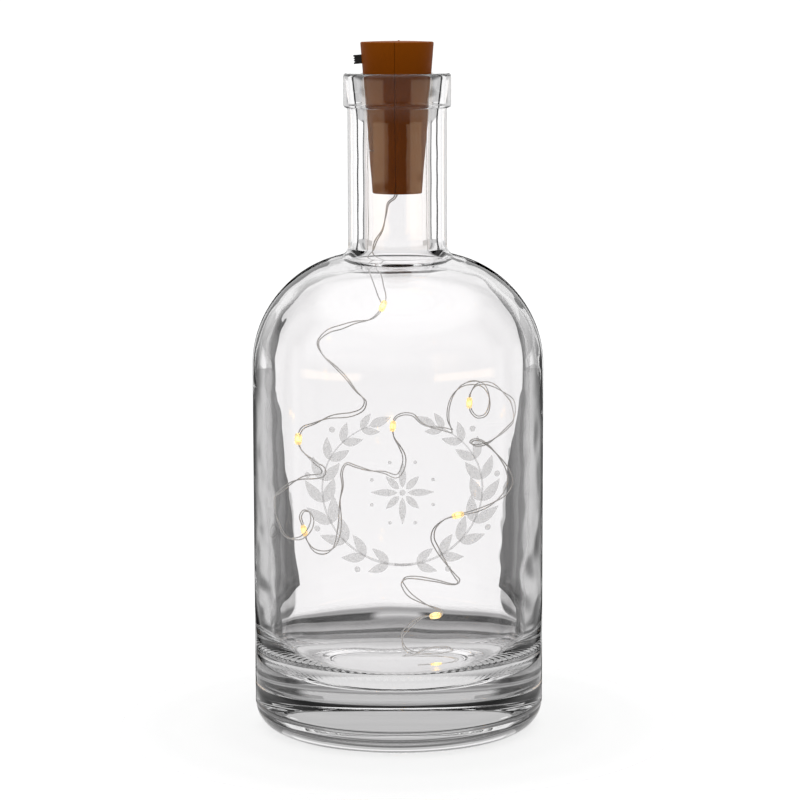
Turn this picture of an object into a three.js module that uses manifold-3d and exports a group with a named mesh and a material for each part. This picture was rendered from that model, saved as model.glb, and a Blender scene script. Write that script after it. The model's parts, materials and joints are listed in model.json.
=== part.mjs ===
// Bottle light: a clear glass bottle, a stopper that holds the cells and the switch, and a string of lights.
// Millimetres, +Z up, origin at the middle of the bottle's foot. The switch and the cell door face about -X.
import * as THREE from 'three';
import { mergeVertices } from 'three/addons/utils/BufferGeometryUtils.js';
import Module from 'manifold-3d';

const wasm = await Module();
wasm.setup();

// Clearances
const fitGap = 0.3;
const contactGap = 0.15;
const mouthClearance = 0.3;

// Glass bottle
const bodyRadius = 42.5;
const bodyWall = 3.6;
const footWall = 4.6;
const heelRadius = 7;
const bearingWidth = 2.6;
const pushUpHeight = 3.2;
const floorHeight = 16.4;
const innerHeelRadius = 15;
const springHeight = 106.9;
const shoulderRadius = 33;
const neckFillet = 2.8;
const innerNeckRound = 4;
const neckWall = 5.76;
const neckLength = 39.9;
const ringHeight = 9.9;
const ringProjection = 1.2;
const ringRound = 0.9;
const lipRound = 0.6;
const mouthDepth = 20;

// Button cells and their contacts
const cellCount = 3;
const cellRadius = 5.8;
const cellHeight = 5.4;
const cellCapRadius = 4.6;
const cellCapHeight = 0.5;
const cellEdge = 0.35;
const contactThickness = 0.3;
const contactLength = 7;
const contactWidth = 4;
const leafRise = 0.6;
const tabWidth = 1.6;
const tabHeight = 2.4;

// Stopper housing
const stopperTaperDegrees = 4.49;
const stopperTurnDegrees = -3.9;
const stopperProud = 9;
const stopperWall = 1.3;
const capWall = 1.6;
const floorWall = 1.6;
const shelfThickness = 1;
const cellRoom = 1;
const wireChamberHeight = 8.9;
const topEdgeRound = 0.7;
const bottomEdgeRound = 0.5;
const doorClearance = 0.2;
const doorMargin = 0.4;
const gripWidth = 5;
const gripHeight = 1;
const gripDepth = 0.45;
const glandHoleRadius = 2;
const glandFlangeRadius = 3;
const glandFlangeHeight = 1;

// Slide switch and circuit board
const switchLength = 6.8;
const switchWidth = 3.6;
const switchDepth = 3;
const switchRoom = 0.9;
const switchSeatDepth = 2;
const switchSeatMargin = 0.6;
const switchFootRoom = 3.3;
const canWall = 0.35;
const switchTravel = 2;
const knobHeight = 2.6;
const knobWidth = 2.2;
const knobProud = 2.3;
const carriageMargin = 0.35;
const carriageDepth = 1;
const switchBaseDepth = 1;
const terminalCount = 3;
const terminalSize = 0.5;
const terminalPitch = 2;
const terminalProud = 0.8;
const boardWidth = 10;
const boardHeight = 6.4;
const boardThickness = 1;
const boardDrop = 0.6;
const resistorSize = { thickness: 0.6, width: 1.6, length: 3.2 };
const resistorOffset = 3;

// Leads inside the stopper
const leadRadius = 0.35;
const leadAngleDegrees = 20;
const leadRise = 3.2;
const leadSpread = 3;
const leadDrop = 1.6;

// String of lights: a twin wire with a resin drop around each light
const wireRadius = 0.45;
const wireStep = 2.4;
const dropLength = 3.6;
const dropRadius = 1.15;
const dropBore = 0.6;
const chipSize = { length: 1.2, width: 0.7, height: 0.5 };
const leastWireGap = 0.4;
const neighbourReach = 3.6;

// Facets and steps
const weldDistance = 1e-4;
const arcSag = 0.08;
const latheSides = 40;
const cellSides = 28;
const smallSides = 12;
const glandSides = 24;
const wireSides = 8;
const dropRings = 6;
const stridesPerPoint = 40;
const routeSamples = 700;

// Route of the string below the stopper. Each row ends at a light, and the last one at the wire's loose end.
const routeRows = [
  [
    [-0.8, -0.3, 156], [-2.6, -1, 154.5], [-3.3, -1.8, 151], [-4.2, -2, 146.5], [-6, -2, 143.2],
    [-6.5, -2, 141], [-6, -2.3, 138.5], [-4.7, -3, 134.8], [-4.3, -4, 131], [-3.7, -5.8, 127.5],
    [-4.3, -7, 125],
  ],
  [
    [-6, -8, 122.6], [-8, -9.2, 121.3], [-12, -11.2, 120.7], [-16, -14, 119.6], [-19.7, -17, 118.5],
    [-22.2, -18.4, 115.8], [-21, -20.3, 112.6], [-17.3, -24, 109.5], [-14.4, -27, 107],
    [-11.5, -30, 103.6], [-9, -32.2, 101], [-9.6, -32.6, 98.9], [-12.4, -31.4, 97.2],
    [-18.7, -28.4, 95.9], [-23, -25.5, 93.7], [-26.4, -23, 91.8], [-27.5, -22, 88.7],
  ],
  [
    [-26.9, -22.4, 86], [-24.1, -25, 83.5], [-22.2, -26.6, 82.1], [-21, -27.7, 81.5],
    [-20.4, -28.2, 80.4], [-20.8, -27.9, 79.3], [-22.2, -26.7, 78.7], [-26.3, -23.2, 77.7],
    [-29.4, -19.6, 75.8],
    [-32.5, -15.5, 72.8], [-35.3, -10.5, 70], [-36.8, -5, 66.8], [-37.2, 0, 63], [-36.9, 4, 59.5],
    [-36, 7.5, 55.5], [-34, 10, 53.3], [-31.6, 11, 52.8], [-29.3, 11.4, 53.2], [-27.2, 12, 55.2],
    [-26.4, 13.5, 58], [-27.4, 15.5, 60], [-29.2, 16.5, 60.2], [-30.2, 16.8, 58.4],
    [-29.6, 16.6, 56.2], [-29, 16.2, 54.2],
  ],
  [
    [-28.4, 16.6, 51.6], [-27, 18.2, 48.8], [-25, 20, 47.2], [-22.4, 22.5, 46.8], [-20.2, 25, 48],
    [-18.9, 26.6, 51.5], [-18.3, 27, 56], [-18.1, 27, 61.5], [-17.3, 27.8, 66], [-17.7, 28.8, 70],
    [-16.4, 29.8, 72.3], [-13, 31.6, 71], [-9, 33, 69.6], [-4.5, 34, 69], [-0.6, 34, 67.9],
    [1.2, 33.2, 70], [1.8, 32, 73.8], [0.4, 31.6, 77.2], [-1.3, 32, 80], [-1.7, 32.4, 83.3],
  ],
  [
    [-0.8, 32.6, 86], [1.8, 32.8, 87.3], [4.4, 32.8, 87.1], [6.8, 32.4, 84.8], [9.6, 32, 83.4],
    [14, 30.6, 82.8], [16.8, 28.6, 82.4], [16.6, 26, 83.4], [15.6, 23.8, 86.4], [15.5, 22, 90.2],
    [16.8, 20.6, 94.6], [19.4, 19, 97.8], [22.8, 17.4, 99], [25.8, 15.8, 98.4], [27.6, 14.4, 96],
    [27.9, 13.6, 92.6], [26.6, 13.4, 89.8], [24.2, 13.6, 89.2], [22.4, 14, 90.8], [21.6, 14, 93.6],
  ],
  [
    [21.8, 13.6, 96.4], [23.4, 12.4, 99], [26.6, 10.4, 99.8], [30.4, 7.4, 98.6], [33, 3.4, 96.6],
    [34, -1, 93.8], [33.2, -6.4, 91.2], [31, -11.6, 90.2], [27.8, -16.6, 88.3], [24.8, -20.4, 87],
    [22, -24, 87], [20.5, -26.4, 87.7], [20, -27.6, 88.5], [20.8, -28.2, 89.3], [22.4, -27.8, 89.1],
    [24.4, -26.6, 87.6], [27.4, -24, 84], [30, -21.4, 79.6], [30.8, -20, 75.8], [29.4, -21.2, 72.7],
    [26, -24.4, 70.4], [21.6, -28, 69], [16.3, -31, 68.2],
  ],
  [
    [12.6, -32.4, 67.2], [10, -33, 64.8], [9.4, -33, 62], [10.6, -32.5, 58.9], [13.6, -31.6, 53.6],
    [15.7, -30.1, 50.3], [16.6, -29.2, 48.9], [16.2, -28.5, 47.9], [14.8, -28.4, 47.7],
    [10.6, -29, 48.8], [4.4, -30.6, 50.2], [2, -31, 50.1], [1, -30.6, 48.9], [1.6, -29.6, 47],
    [3.3, -28, 44.4], [7.4, -26, 41.4], [11.6, -23.4, 39], [12.4, -21.2, 37.5], [10.4, -20, 36.7],
  ],
  [
    [6.6, -17.2, 35.5], [3.2, -15.4, 32.6], [0.9, -13.8, 29.2], [1.6, -12.5, 25.2],
    [4.4, -11.2, 22.2], [8.8, -9.4, 20.9], [13.4, -7.2, 20.6], [16, -4.2, 21.1], [14.6, -1.2, 22.1],
    [10.6, -1.6, 22.1], [7, -4.4, 21.4], [4.2, -7.4, 19.6], [2, -9, 19.6], [1.6, -11, 20.8],
    [4, -13, 21.6], [8.4, -13.8, 21.2], [13, -14.8, 20.8], [15.8, -16, 20.4], [17.1, -17.2, 19.8],
    [16.6, -18.6, 19.2], [14.2, -19.2, 18.6], [11.1, -19, 17.85],
  ],
  [
    [8, -18.9, 17.7], [5.6, -19, 17.5],
  ],
];

// Sizes that follow from the ones above
const radians = THREE.MathUtils.degToRad;
const taper = Math.tan(radians(stopperTaperDegrees));
const stackHeight = cellCount * cellHeight + (cellCount - 1) * contactGap;
const shelfBottom = floorWall + wireChamberHeight;
const cellChamberBottom = shelfBottom + shelfThickness;
const stackBottom = cellChamberBottom + contactGap + contactThickness + leafRise + contactGap;
const stackTop = stackBottom + stackHeight;
const cellChamberTop = stackTop + contactGap + contactThickness + contactGap;
const switchChamberBottom = cellChamberTop + shelfThickness;
const switchChamberTop = switchChamberBottom + switchFootRoom + switchLength + switchRoom;
const switchMiddle = switchChamberTop - switchRoom - switchLength / 2;
const stopperLength = switchChamberTop + capWall;
const stopperBaseRadius = cellRadius + cellRoom + stopperWall - taper * cellChamberBottom;
const stopperRadiusAt = (height) => stopperBaseRadius + taper * height;
const doorHalfWidth = cellRadius + doorClearance;
const doorBottom = stackBottom - doorMargin;
const doorTop = stackTop + doorMargin;
const mouthSeat = stopperLength - stopperProud;
const boreRadius = stopperRadiusAt(mouthSeat - mouthDepth) + mouthClearance;
const mouthRadius = stopperRadiusAt(mouthSeat) + mouthClearance;
const neckRadius = boreRadius + neckWall;
const ringRadius = neckRadius + ringProjection;
const shoulderCentre = bodyRadius - shoulderRadius;
const innerRadius = bodyRadius - bodyWall;
const footInnerRadius = bodyRadius - footWall;
const neckTurn = tangentTurn(shoulderRadius, neckRadius, neckFillet);
const innerNeckTurn = tangentTurn(shoulderRadius - bodyWall, boreRadius, innerNeckRound);
const ringBottom = neckTurn.height + neckLength;
const bottleHeight = ringBottom + ringHeight;
const stopperBottom = bottleHeight - mouthSeat;

// Where a small round of the neck meets the shoulder's arc: its centre height and the meeting point's angle.
function tangentTurn(arcRadius, neckSide, round) {
  const across = neckSide + round - shoulderCentre;
  const rise = Math.sqrt((arcRadius + round) ** 2 - across ** 2);
  return { height: springHeight + rise, angle: THREE.MathUtils.radToDeg(Math.atan2(rise, across)) };
}

// Points of an arc in a profile of radius and height, both ends included, with a small sag between them.
function arcPoints(centreRadius, centreHeight, radius, fromDegrees, toDegrees) {
  const sweep = radians(Math.abs(toDegrees - fromDegrees));
  const steps = Math.ceil(sweep / (2 * Math.acos(1 - arcSag / radius)));
  const points = [];
  for (let i = 0; i <= steps; i += 1) {
    const angle = radians(THREE.MathUtils.lerp(fromDegrees, toDegrees, i / steps));
    points.push([centreRadius + radius * Math.cos(angle), centreHeight + radius * Math.sin(angle)]);
  }
  return points;
}

// A geometry as a solid for joining and cutting, with shared corners merged and its faces turned outwards.
function solidOf(geometry) {
  const bare = geometry.clone();
  bare.deleteAttribute('normal');
  bare.deleteAttribute('uv');
  const merged = mergeVertices(bare, weldDistance);
  const position = merged.attributes.position;
  const [a, b, c] = [new THREE.Vector3(), new THREE.Vector3(), new THREE.Vector3()];
  const triangles = [];
  let volume = 0;
  for (let i = 0; i < merged.index.count; i += 3) {
    const corners = [merged.index.getX(i), merged.index.getX(i + 1), merged.index.getX(i + 2)];
    if (new Set(corners).size === 3) {
      triangles.push(corners);
      a.fromBufferAttribute(position, corners[0]);
      b.fromBufferAttribute(position, corners[1]);
      c.fromBufferAttribute(position, corners[2]);
      volume += a.dot(b.cross(c));
    }
  }
  const outward = volume < 0 ? triangles.map((corners) => corners.reverse()) : triangles;
  const vertProperties = new Float32Array(position.array);
  const triVerts = new Uint32Array(outward.flat());
  return new wasm.Manifold(new wasm.Mesh({ numProp: 3, vertProperties, triVerts }));
}

// A solid of revolution about Z from a profile of [radius, height] points.
function turned(profile, sides) {
  const points = profile.map(([radius, height]) => new THREE.Vector2(Math.max(radius, 0), height));
  return solidOf(new THREE.LatheGeometry(points, sides).rotateX(Math.PI / 2));
}

// A block between two corners, moved by a matrix where one is given.
function block(low, high, matrix = new THREE.Matrix4()) {
  const size = high.map((value, axis) => value - low[axis]);
  const middle = high.map((value, axis) => (value + low[axis]) / 2);
  return solidOf(new THREE.BoxGeometry(...size).translate(...middle).applyMatrix4(matrix));
}

// A round-sided tube along a curve.
function tube(curve, radius, sides, steps) {
  const section = new THREE.Shape();
  for (let i = 0; i < sides; i += 1) {
    const angle = (2 * Math.PI * i) / sides;
    const corner = [radius * Math.cos(angle), radius * Math.sin(angle)];
    if (i === 0) section.moveTo(...corner);
    else section.lineTo(...corner);
  }
  section.closePath();
  return solidOf(new THREE.ExtrudeGeometry(section, { steps, extrudePath: curve, bevelEnabled: false }));
}

// A named mesh of one solid, added to its group.
function addPiece(group, name, solid, material) {
  const { vertProperties, triVerts } = solid.getMesh();
  const geometry = new THREE.BufferGeometry();
  geometry.setAttribute('position', new THREE.BufferAttribute(vertProperties, 3));
  geometry.setIndex(new THREE.BufferAttribute(triVerts, 1));
  geometry.computeVertexNormals();
  const mesh = new THREE.Mesh(geometry, material);
  mesh.name = name;
  group.add(mesh);
  return mesh;
}

function finish(color, roughness, metalness) {
  return new THREE.MeshStandardMaterial({ color, roughness, metalness });
}
const glass = finish(0xdde1e2, 0.04, 0);
glass.transparent = true;
glass.opacity = 0.35;
const corkPlastic = finish(0x7a4416, 0.35, 0);
const blackPlastic = finish(0x111111, 0.4, 0);
const nickel = finish(0xb9b8b2, 0.3, 1);
const cellSteel = finish(0xc8c9cb, 0.25, 1);
const boardLaminate = finish(0x2c6b3c, 0.6, 0);
const ceramic = finish(0x1c1c20, 0.5, 0);
const redSleeve = finish(0xa3201c, 0.5, 0);
const blackSleeve = finish(0x161616, 0.5, 0);
const rubber = finish(0x2a221c, 0.8, 0);
const silverWire = finish(0x9c9a94, 0.35, 1);
const resin = finish(0xf6dc9a, 0.15, 0);
const chipYellow = finish(0xf2c230, 0.4, 0);

const bottleLight = new THREE.Group();
const stopper = new THREE.Group();
stopper.position.z = stopperBottom;
stopper.rotation.z = radians(stopperTurnDegrees);
bottleLight.add(stopper);

// Bottle: one thick-walled turned shell, open at the mouth, with a heavy foot
function bottleSolid() {
  const heelCentre = bodyRadius - heelRadius;
  const bearingInner = heelCentre - bearingWidth;
  const dishRadius = (bearingInner ** 2 + pushUpHeight ** 2) / (2 * pushUpHeight);
  const dishAngle = THREE.MathUtils.radToDeg(Math.asin(bearingInner / dishRadius));
  const corner = Math.min(ringRound, ringProjection);
  const innerHeelCentre = footInnerRadius - innerHeelRadius;
  const innerNeckCentre = boreRadius + innerNeckRound;
  return turned([
    ...arcPoints(0, pushUpHeight - dishRadius, dishRadius, 90, 90 - dishAngle),
    ...arcPoints(heelCentre, heelRadius, heelRadius, -90, 0),
    ...arcPoints(shoulderCentre, springHeight, shoulderRadius, 0, neckTurn.angle),
    ...arcPoints(neckRadius + neckFillet, neckTurn.height, neckFillet, neckTurn.angle + 180, 180),
    [neckRadius, ringBottom],
    ...arcPoints(ringRadius - corner, ringBottom + corner, corner, -90, 0),
    ...arcPoints(ringRadius - corner, bottleHeight - corner, corner, 0, 90),
    ...arcPoints(mouthRadius + lipRound, bottleHeight - lipRound, lipRound, 90, 180),
    [boreRadius, bottleHeight - mouthDepth],
    ...arcPoints(innerNeckCentre, innerNeckTurn.height, innerNeckRound, 180, innerNeckTurn.angle + 180),
    ...arcPoints(shoulderCentre, springHeight, shoulderRadius - bodyWall, innerNeckTurn.angle, 0),
    ...arcPoints(innerHeelCentre, floorHeight + innerHeelRadius, innerHeelRadius, 0, -90),
    [0, floorHeight],
  ], latheSides);
}
addPiece(bottleLight, 'bottle', bottleSolid(), glass);

// Stopper housing: a hollow tapered plug in two halves that part on its own YZ plane
const stopperTopRadius = stopperRadiusAt(stopperLength);
const stopperOuter = turned([
  [0, 0],
  ...arcPoints(stopperBaseRadius - bottomEdgeRound, bottomEdgeRound, bottomEdgeRound, -90, 0),
  ...arcPoints(stopperTopRadius - topEdgeRound, stopperLength - topEdgeRound, topEdgeRound, 0, 90),
  [0, stopperLength],
], latheSides);

// The tapered space inside the wall between two heights.
function chamber(bottom, top) {
  const profile = [
    [0, bottom],
    [stopperRadiusAt(bottom) - stopperWall, bottom],
    [stopperRadiusAt(top) - stopperWall, top],
    [0, top],
  ];
  return turned(profile, latheSides);
}

// The switch's own frame: its origin on the outer wall, X inwards and Z up along the tapered wall
const switchFrame = new THREE.Matrix4().makeRotationY(-radians(stopperTaperDegrees));
switchFrame.setPosition(-stopperRadiusAt(switchMiddle), 0, switchMiddle);
const canFront = switchSeatDepth + fitGap;
const canBack = canFront + switchDepth;
const baseFront = canBack + contactGap;
const baseBack = baseFront + switchBaseDepth;
const boardFront = baseBack + contactGap;
const boardBack = boardFront + boardThickness;
const slotHalfWidth = knobWidth / 2 + fitGap;
const slotHalfHeight = (knobHeight + switchTravel) / 2 + fitGap;

const leadCircle = cellRadius + fitGap + leadRadius;
function leadPlace(degrees) {
  const angle = radians(degrees);
  return [leadCircle * Math.cos(angle), leadCircle * Math.sin(angle)];
}
const feedPlace = leadPlace(leadAngleDegrees);
const negativePlace = leadPlace(-leadAngleDegrees);
const tabX = contactLength / 2 - contactThickness / 2;

// A straight way for a lead beside the cells, from the wire chamber to the switch chamber.
function leadChannel([x, y]) {
  const bottom = shelfBottom - leadRise;
  const height = switchChamberBottom + fitGap - bottom;
  const channel = new THREE.CylinderGeometry(leadRadius + fitGap, leadRadius + fitGap, height, smallSides);
  return solidOf(channel.rotateX(Math.PI / 2).translate(x, y, bottom + height / 2));
}

// One half of the housing, on the side of the sign given.
function housingHalf(side) {
  const reach = 2 * stopperTopRadius;
  const low = side < 0 ? -reach : fitGap / 2;
  const high = side < 0 ? -fitGap / 2 : reach;
  const half = block([low, -reach, -reach], [high, reach, stopperLength + reach]);
  const holeHeight = 2 * (floorWall + fitGap);
  const glandHole = new THREE.CylinderGeometry(glandHoleRadius, glandHoleRadius, holeHeight, glandSides);
  return stopperOuter
    .subtract(chamber(floorWall, shelfBottom))
    .subtract(chamber(cellChamberBottom, cellChamberTop))
    .subtract(chamber(switchChamberBottom, switchChamberTop))
    .subtract(solidOf(glandHole.rotateX(Math.PI / 2)))
    .intersect(half);
}

const seatHalfWidth = switchWidth / 2 + switchSeatMargin;
const seatHalfLength = switchLength / 2 + switchSeatMargin;
const seatBlock = block(
  [-knobProud, -seatHalfWidth, -seatHalfLength],
  [switchSeatDepth, seatHalfWidth, seatHalfLength],
  switchFrame,
);
const switchSeat = seatBlock.intersect(stopperOuter);
const knobSlot = block(
  [-knobProud, -slotHalfWidth, -slotHalfHeight],
  [canFront, slotHalfWidth, slotHalfHeight],
  switchFrame,
);
const doorway = block([-stopperTopRadius, -doorHalfWidth, doorBottom], [-fitGap, doorHalfWidth, doorTop]);
const doorwayCut = doorway.subtract(chamber(cellChamberBottom, cellChamberTop));
const leftHousing = housingHalf(-1).add(switchSeat).subtract(knobSlot).subtract(doorwayCut);
addPiece(stopper, 'stopper_shell_left', leftHousing, corkPlastic);

const tabSlot = block(
  [tabX - contactThickness / 2 - fitGap, -tabWidth / 2 - fitGap, cellChamberTop - fitGap],
  [tabX + contactThickness / 2 + fitGap, tabWidth / 2 + fitGap, switchChamberBottom + fitGap],
);
const rightHousing = housingHalf(1)
  .subtract(leadChannel(feedPlace))
  .subtract(leadChannel(negativePlace))
  .subtract(tabSlot);
addPiece(stopper, 'stopper_shell_right', rightHousing, corkPlastic);

// Cell door: a piece of the tapered wall that fills the doorway, with a shallow grip for a fingernail
function doorSolid() {
  const edge = doorHalfWidth - fitGap;
  const bounds = block([-stopperTopRadius, -edge, doorBottom + fitGap], [-fitGap, edge, doorTop - fitGap]);
  const gripTop = doorTop - 2 * gripHeight;
  const gripX = -stopperRadiusAt(gripTop);
  const grip = block(
    [gripX - gripDepth, -gripWidth / 2, gripTop - gripHeight],
    [gripX + gripDepth, gripWidth / 2, gripTop],
  );
  return stopperOuter.subtract(chamber(cellChamberBottom, cellChamberTop)).intersect(bounds).subtract(grip);
}
addPiece(stopper, 'battery_door', doorSolid(), corkPlastic);

// Button cells, stacked with the wide can upwards
for (let i = 0; i < cellCount; i += 1) {
  const bottom = stackBottom + i * (cellHeight + contactGap);
  const cell = turned([
    [0, bottom],
    [cellCapRadius, bottom],
    [cellCapRadius, bottom + cellCapHeight],
    [cellRadius - cellEdge, bottom + cellCapHeight],
    [cellRadius, bottom + cellCapHeight + cellEdge],
    [cellRadius, bottom + cellHeight - cellEdge],
    [cellRadius - cellEdge, bottom + cellHeight],
    [0, bottom + cellHeight],
  ], cellSides);
  addPiece(stopper, `button_cell_${i + 1}`, cell, cellSteel);
}

// Contacts: a flat plate with a tab above the cells, and a folded leaf below them
const plateBottom = stackTop + contactGap;
const contactPlate = block(
  [-contactLength / 2, -contactWidth / 2, plateBottom],
  [contactLength / 2, contactWidth / 2, plateBottom + contactThickness],
);
const tabTop = switchChamberBottom + tabHeight;
const contactTab = block(
  [tabX - contactThickness / 2, -tabWidth / 2, plateBottom],
  [tabX + contactThickness / 2, tabWidth / 2, tabTop],
);
addPiece(stopper, 'positive_contact', contactPlate.add(contactTab), nickel);

function leafSolid() {
  const end = contactLength / 2;
  const tip = -end / 2;
  const outline = new THREE.Shape();
  outline.moveTo(-end, 0);
  outline.lineTo(end, 0);
  outline.lineTo(end + contactThickness, contactThickness);
  outline.lineTo(tip, contactThickness + leafRise);
  outline.lineTo(tip, leafRise);
  outline.lineTo(end - 2 * contactThickness, contactThickness);
  outline.lineTo(-end, contactThickness);
  outline.closePath();
  const strip = new THREE.ExtrudeGeometry(outline, { depth: contactWidth, bevelEnabled: false });
  strip.translate(0, 0, -contactWidth / 2);
  strip.rotateX(Math.PI / 2);
  strip.translate(0, 0, cellChamberBottom + contactGap);
  return solidOf(strip);
}
addPiece(stopper, 'negative_leaf_contact', leafSolid(), nickel);

// Slide switch: a folded can, a carriage with the knob, an insulating base and its terminals
const switchGroup = new THREE.Group();
switchGroup.applyMatrix4(switchFrame);
stopper.add(switchGroup);

function canSolid() {
  const halfWidth = switchWidth / 2;
  const halfLength = switchLength / 2;
  const hollow = block(
    [canFront + canWall, canWall - halfWidth, canWall - halfLength],
    [canBack + canWall, halfWidth - canWall, halfLength - canWall],
  );
  const knobWindow = block(
    [canFront - canWall, -slotHalfWidth, -slotHalfHeight],
    [canBack, slotHalfWidth, slotHalfHeight],
  );
  const can = block([canFront, -halfWidth, -halfLength], [canBack, halfWidth, halfLength]);
  return can.subtract(hollow).subtract(knobWindow);
}
addPiece(switchGroup, 'switch_can', canSolid(), nickel);

const knobMiddle = switchTravel / 2;
const carriageFront = canFront + canWall + contactGap;
const knobStem = block(
  [-knobProud, -knobWidth / 2, knobMiddle - knobHeight / 2],
  [carriageFront + carriageDepth, knobWidth / 2, knobMiddle + knobHeight / 2],
);
const carriageHalfWidth = knobWidth / 2 + carriageMargin - contactGap;
const carriageHalfHeight = knobHeight / 2 + carriageMargin;
const carriage = block(
  [carriageFront, -carriageHalfWidth, knobMiddle - carriageHalfHeight],
  [carriageFront + carriageDepth, carriageHalfWidth, knobMiddle + carriageHalfHeight],
);
addPiece(switchGroup, 'switch_knob', knobStem.add(carriage), blackPlastic);
const switchBase = block(
  [baseFront, -switchWidth / 2, -switchLength / 2],
  [baseBack, switchWidth / 2, switchLength / 2],
);
addPiece(switchGroup, 'switch_base', switchBase, blackPlastic);

// Circuit board behind the switch, with the terminals through it and a resistor on its back
const boardMiddle = -boardDrop;
const terminalHeight = (index) => (index - (terminalCount - 1) / 2) * terminalPitch;
let board = block(
  [boardFront, -boardWidth / 2, boardMiddle - boardHeight / 2],
  [boardBack, boardWidth / 2, boardMiddle + boardHeight / 2],
);
for (let i = 0; i < terminalCount; i += 1) {
  const half = terminalSize / 2;
  const middle = terminalHeight(i);
  const hole = half + contactGap;
  board = board.subtract(block([baseBack, -hole, middle - hole], [boardBack + fitGap, hole, middle + hole]));
  const pin = block(
    [baseBack + contactGap / 2, -half, middle - half],
    [boardBack + terminalProud, half, middle + half],
  );
  addPiece(switchGroup, `switch_terminal_${i + 1}`, pin, nickel);
}
addPiece(switchGroup, 'circuit_board', board, boardLaminate);
const resistor = block(
  [boardBack + contactGap, resistorOffset - resistorSize.width / 2, boardMiddle - resistorSize.length / 2],
  [boardBack + contactGap + resistorSize.thickness, resistorOffset + resistorSize.width / 2,
    boardMiddle + resistorSize.length / 2],
);
addPiece(switchGroup, 'resistor', resistor, ceramic);

// Gland: a flanged bush in the stopper's floor that the string's feed goes through
const glandBore = leadRadius + contactGap;
const gland = turned([
  [glandBore, 0],
  [glandHoleRadius - contactGap, 0],
  [glandHoleRadius - contactGap, floorWall + contactGap],
  [glandFlangeRadius, floorWall + contactGap],
  [glandFlangeRadius, floorWall + contactGap + glandFlangeHeight],
  [glandBore, floorWall + contactGap + glandFlangeHeight],
  [glandBore, 0],
], glandSides);
addPiece(stopper, 'wire_gland', gland, rubber);

// Leads: each ends just short of the back of the board
const boardPoint = (across, along) => {
  const point = new THREE.Vector3(boardBack + fitGap, across, along).applyMatrix4(switchFrame);
  return [point.x, point.y, point.z];
};
const leadLanding = boardMiddle - leadDrop;
const leadApproach = ([x, y, z]) => [x + leadRise, y, z];

function addLead(name, points, material) {
  const knots = points.map((point) => new THREE.Vector3(...point));
  const curve = new THREE.CatmullRomCurve3(knots, false, 'centripetal');
  const steps = Math.ceil(curve.getLength() / wireStep) + smallSides;
  addPiece(stopper, name, tube(curve, leadRadius, wireSides, steps), material);
}

const feedEnd = boardPoint(leadSpread, leadLanding - resistorSize.width);
const glandTop = floorWall + contactGap + glandFlangeHeight;
const feedTurn = shelfBottom - leadRise / 2;
addLead('feed_lead', [
  [0, 0, 0],
  [0, 0, glandTop],
  [feedPlace[0] / 2, feedPlace[1] / 2, (glandTop + feedTurn) / 2],
  [...feedPlace, feedTurn],
  [...feedPlace, cellChamberBottom],
  [...feedPlace, cellChamberTop],
  [...feedPlace, switchChamberBottom],
  leadApproach(feedEnd),
  feedEnd,
], blackSleeve);
const negativeEnd = boardPoint(-leadSpread, leadLanding);
addLead('negative_lead', [
  [contactLength / 2 + contactThickness + fitGap, 0, cellChamberBottom + contactGap + leadRadius],
  [negativePlace[0], negativePlace[1] / 2, cellChamberBottom + 2 * leadRadius],
  [...negativePlace, stackBottom + 2 * leadRise],
  [...negativePlace, cellChamberTop],
  [...negativePlace, switchChamberBottom],
  leadApproach(negativeEnd),
  negativeEnd,
], blackSleeve);
const positiveEnd = boardPoint(leadSpread / 2, leadLanding);
addLead('positive_lead', [
  [tabX - contactThickness / 2 - fitGap - leadRadius, tabWidth / 4, tabTop - leadRadius],
  [tabX - leadRise, leadSpread / 2, tabTop + leadRadius],
  positiveEnd,
], redSleeve);

// String of lights: one smooth route, cut at the resin drops
const routeStart = [0, 0, stopperBottom - fitGap];
const routePoints = [routeStart, ...routeRows.flat()].map((point) => new THREE.Vector3(...point));
const route = new THREE.CatmullRomCurve3(routePoints, false, 'centripetal');
const lightCount = routeRows.length - 1;

// A stretch of the route between two of its parameters.
class RouteStretch extends THREE.Curve {
  constructor(from, to) {
    super();
    this.from = from;
    this.to = to;
  }

  getPoint(t, target = new THREE.Vector3()) {
    return route.getPoint(THREE.MathUtils.lerp(this.from, this.to, t), target);
  }
}

// The route's parameter a given distance away from one of its points, forwards or backwards.
function stepAlong(parameter, distance) {
  const stride = Math.sign(distance) / (routePoints.length * stridesPerPoint);
  const point = route.getPoint(parameter);
  let found = parameter;
  while (route.getPoint(found).distanceTo(point) < Math.abs(distance)) found += stride;
  return found;
}

const lightParameters = [];
let pointIndex = 0;
for (const row of routeRows.slice(0, lightCount)) {
  pointIndex += row.length;
  lightParameters.push(pointIndex / (routePoints.length - 1));
}

const wireReach = dropLength / 2 + fitGap;
for (let i = 0; i <= lightCount; i += 1) {
  const from = i === 0 ? 0 : stepAlong(lightParameters[i - 1], wireReach);
  const to = i === lightCount ? 1 : stepAlong(lightParameters[i], -wireReach);
  const stretch = new RouteStretch(from, to);
  const steps = Math.max(2, Math.ceil(stretch.getLength() / wireStep));
  addPiece(bottleLight, `string_wire_${i + 1}`, tube(stretch, wireRadius, wireSides, steps), silverWire);
}

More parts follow.
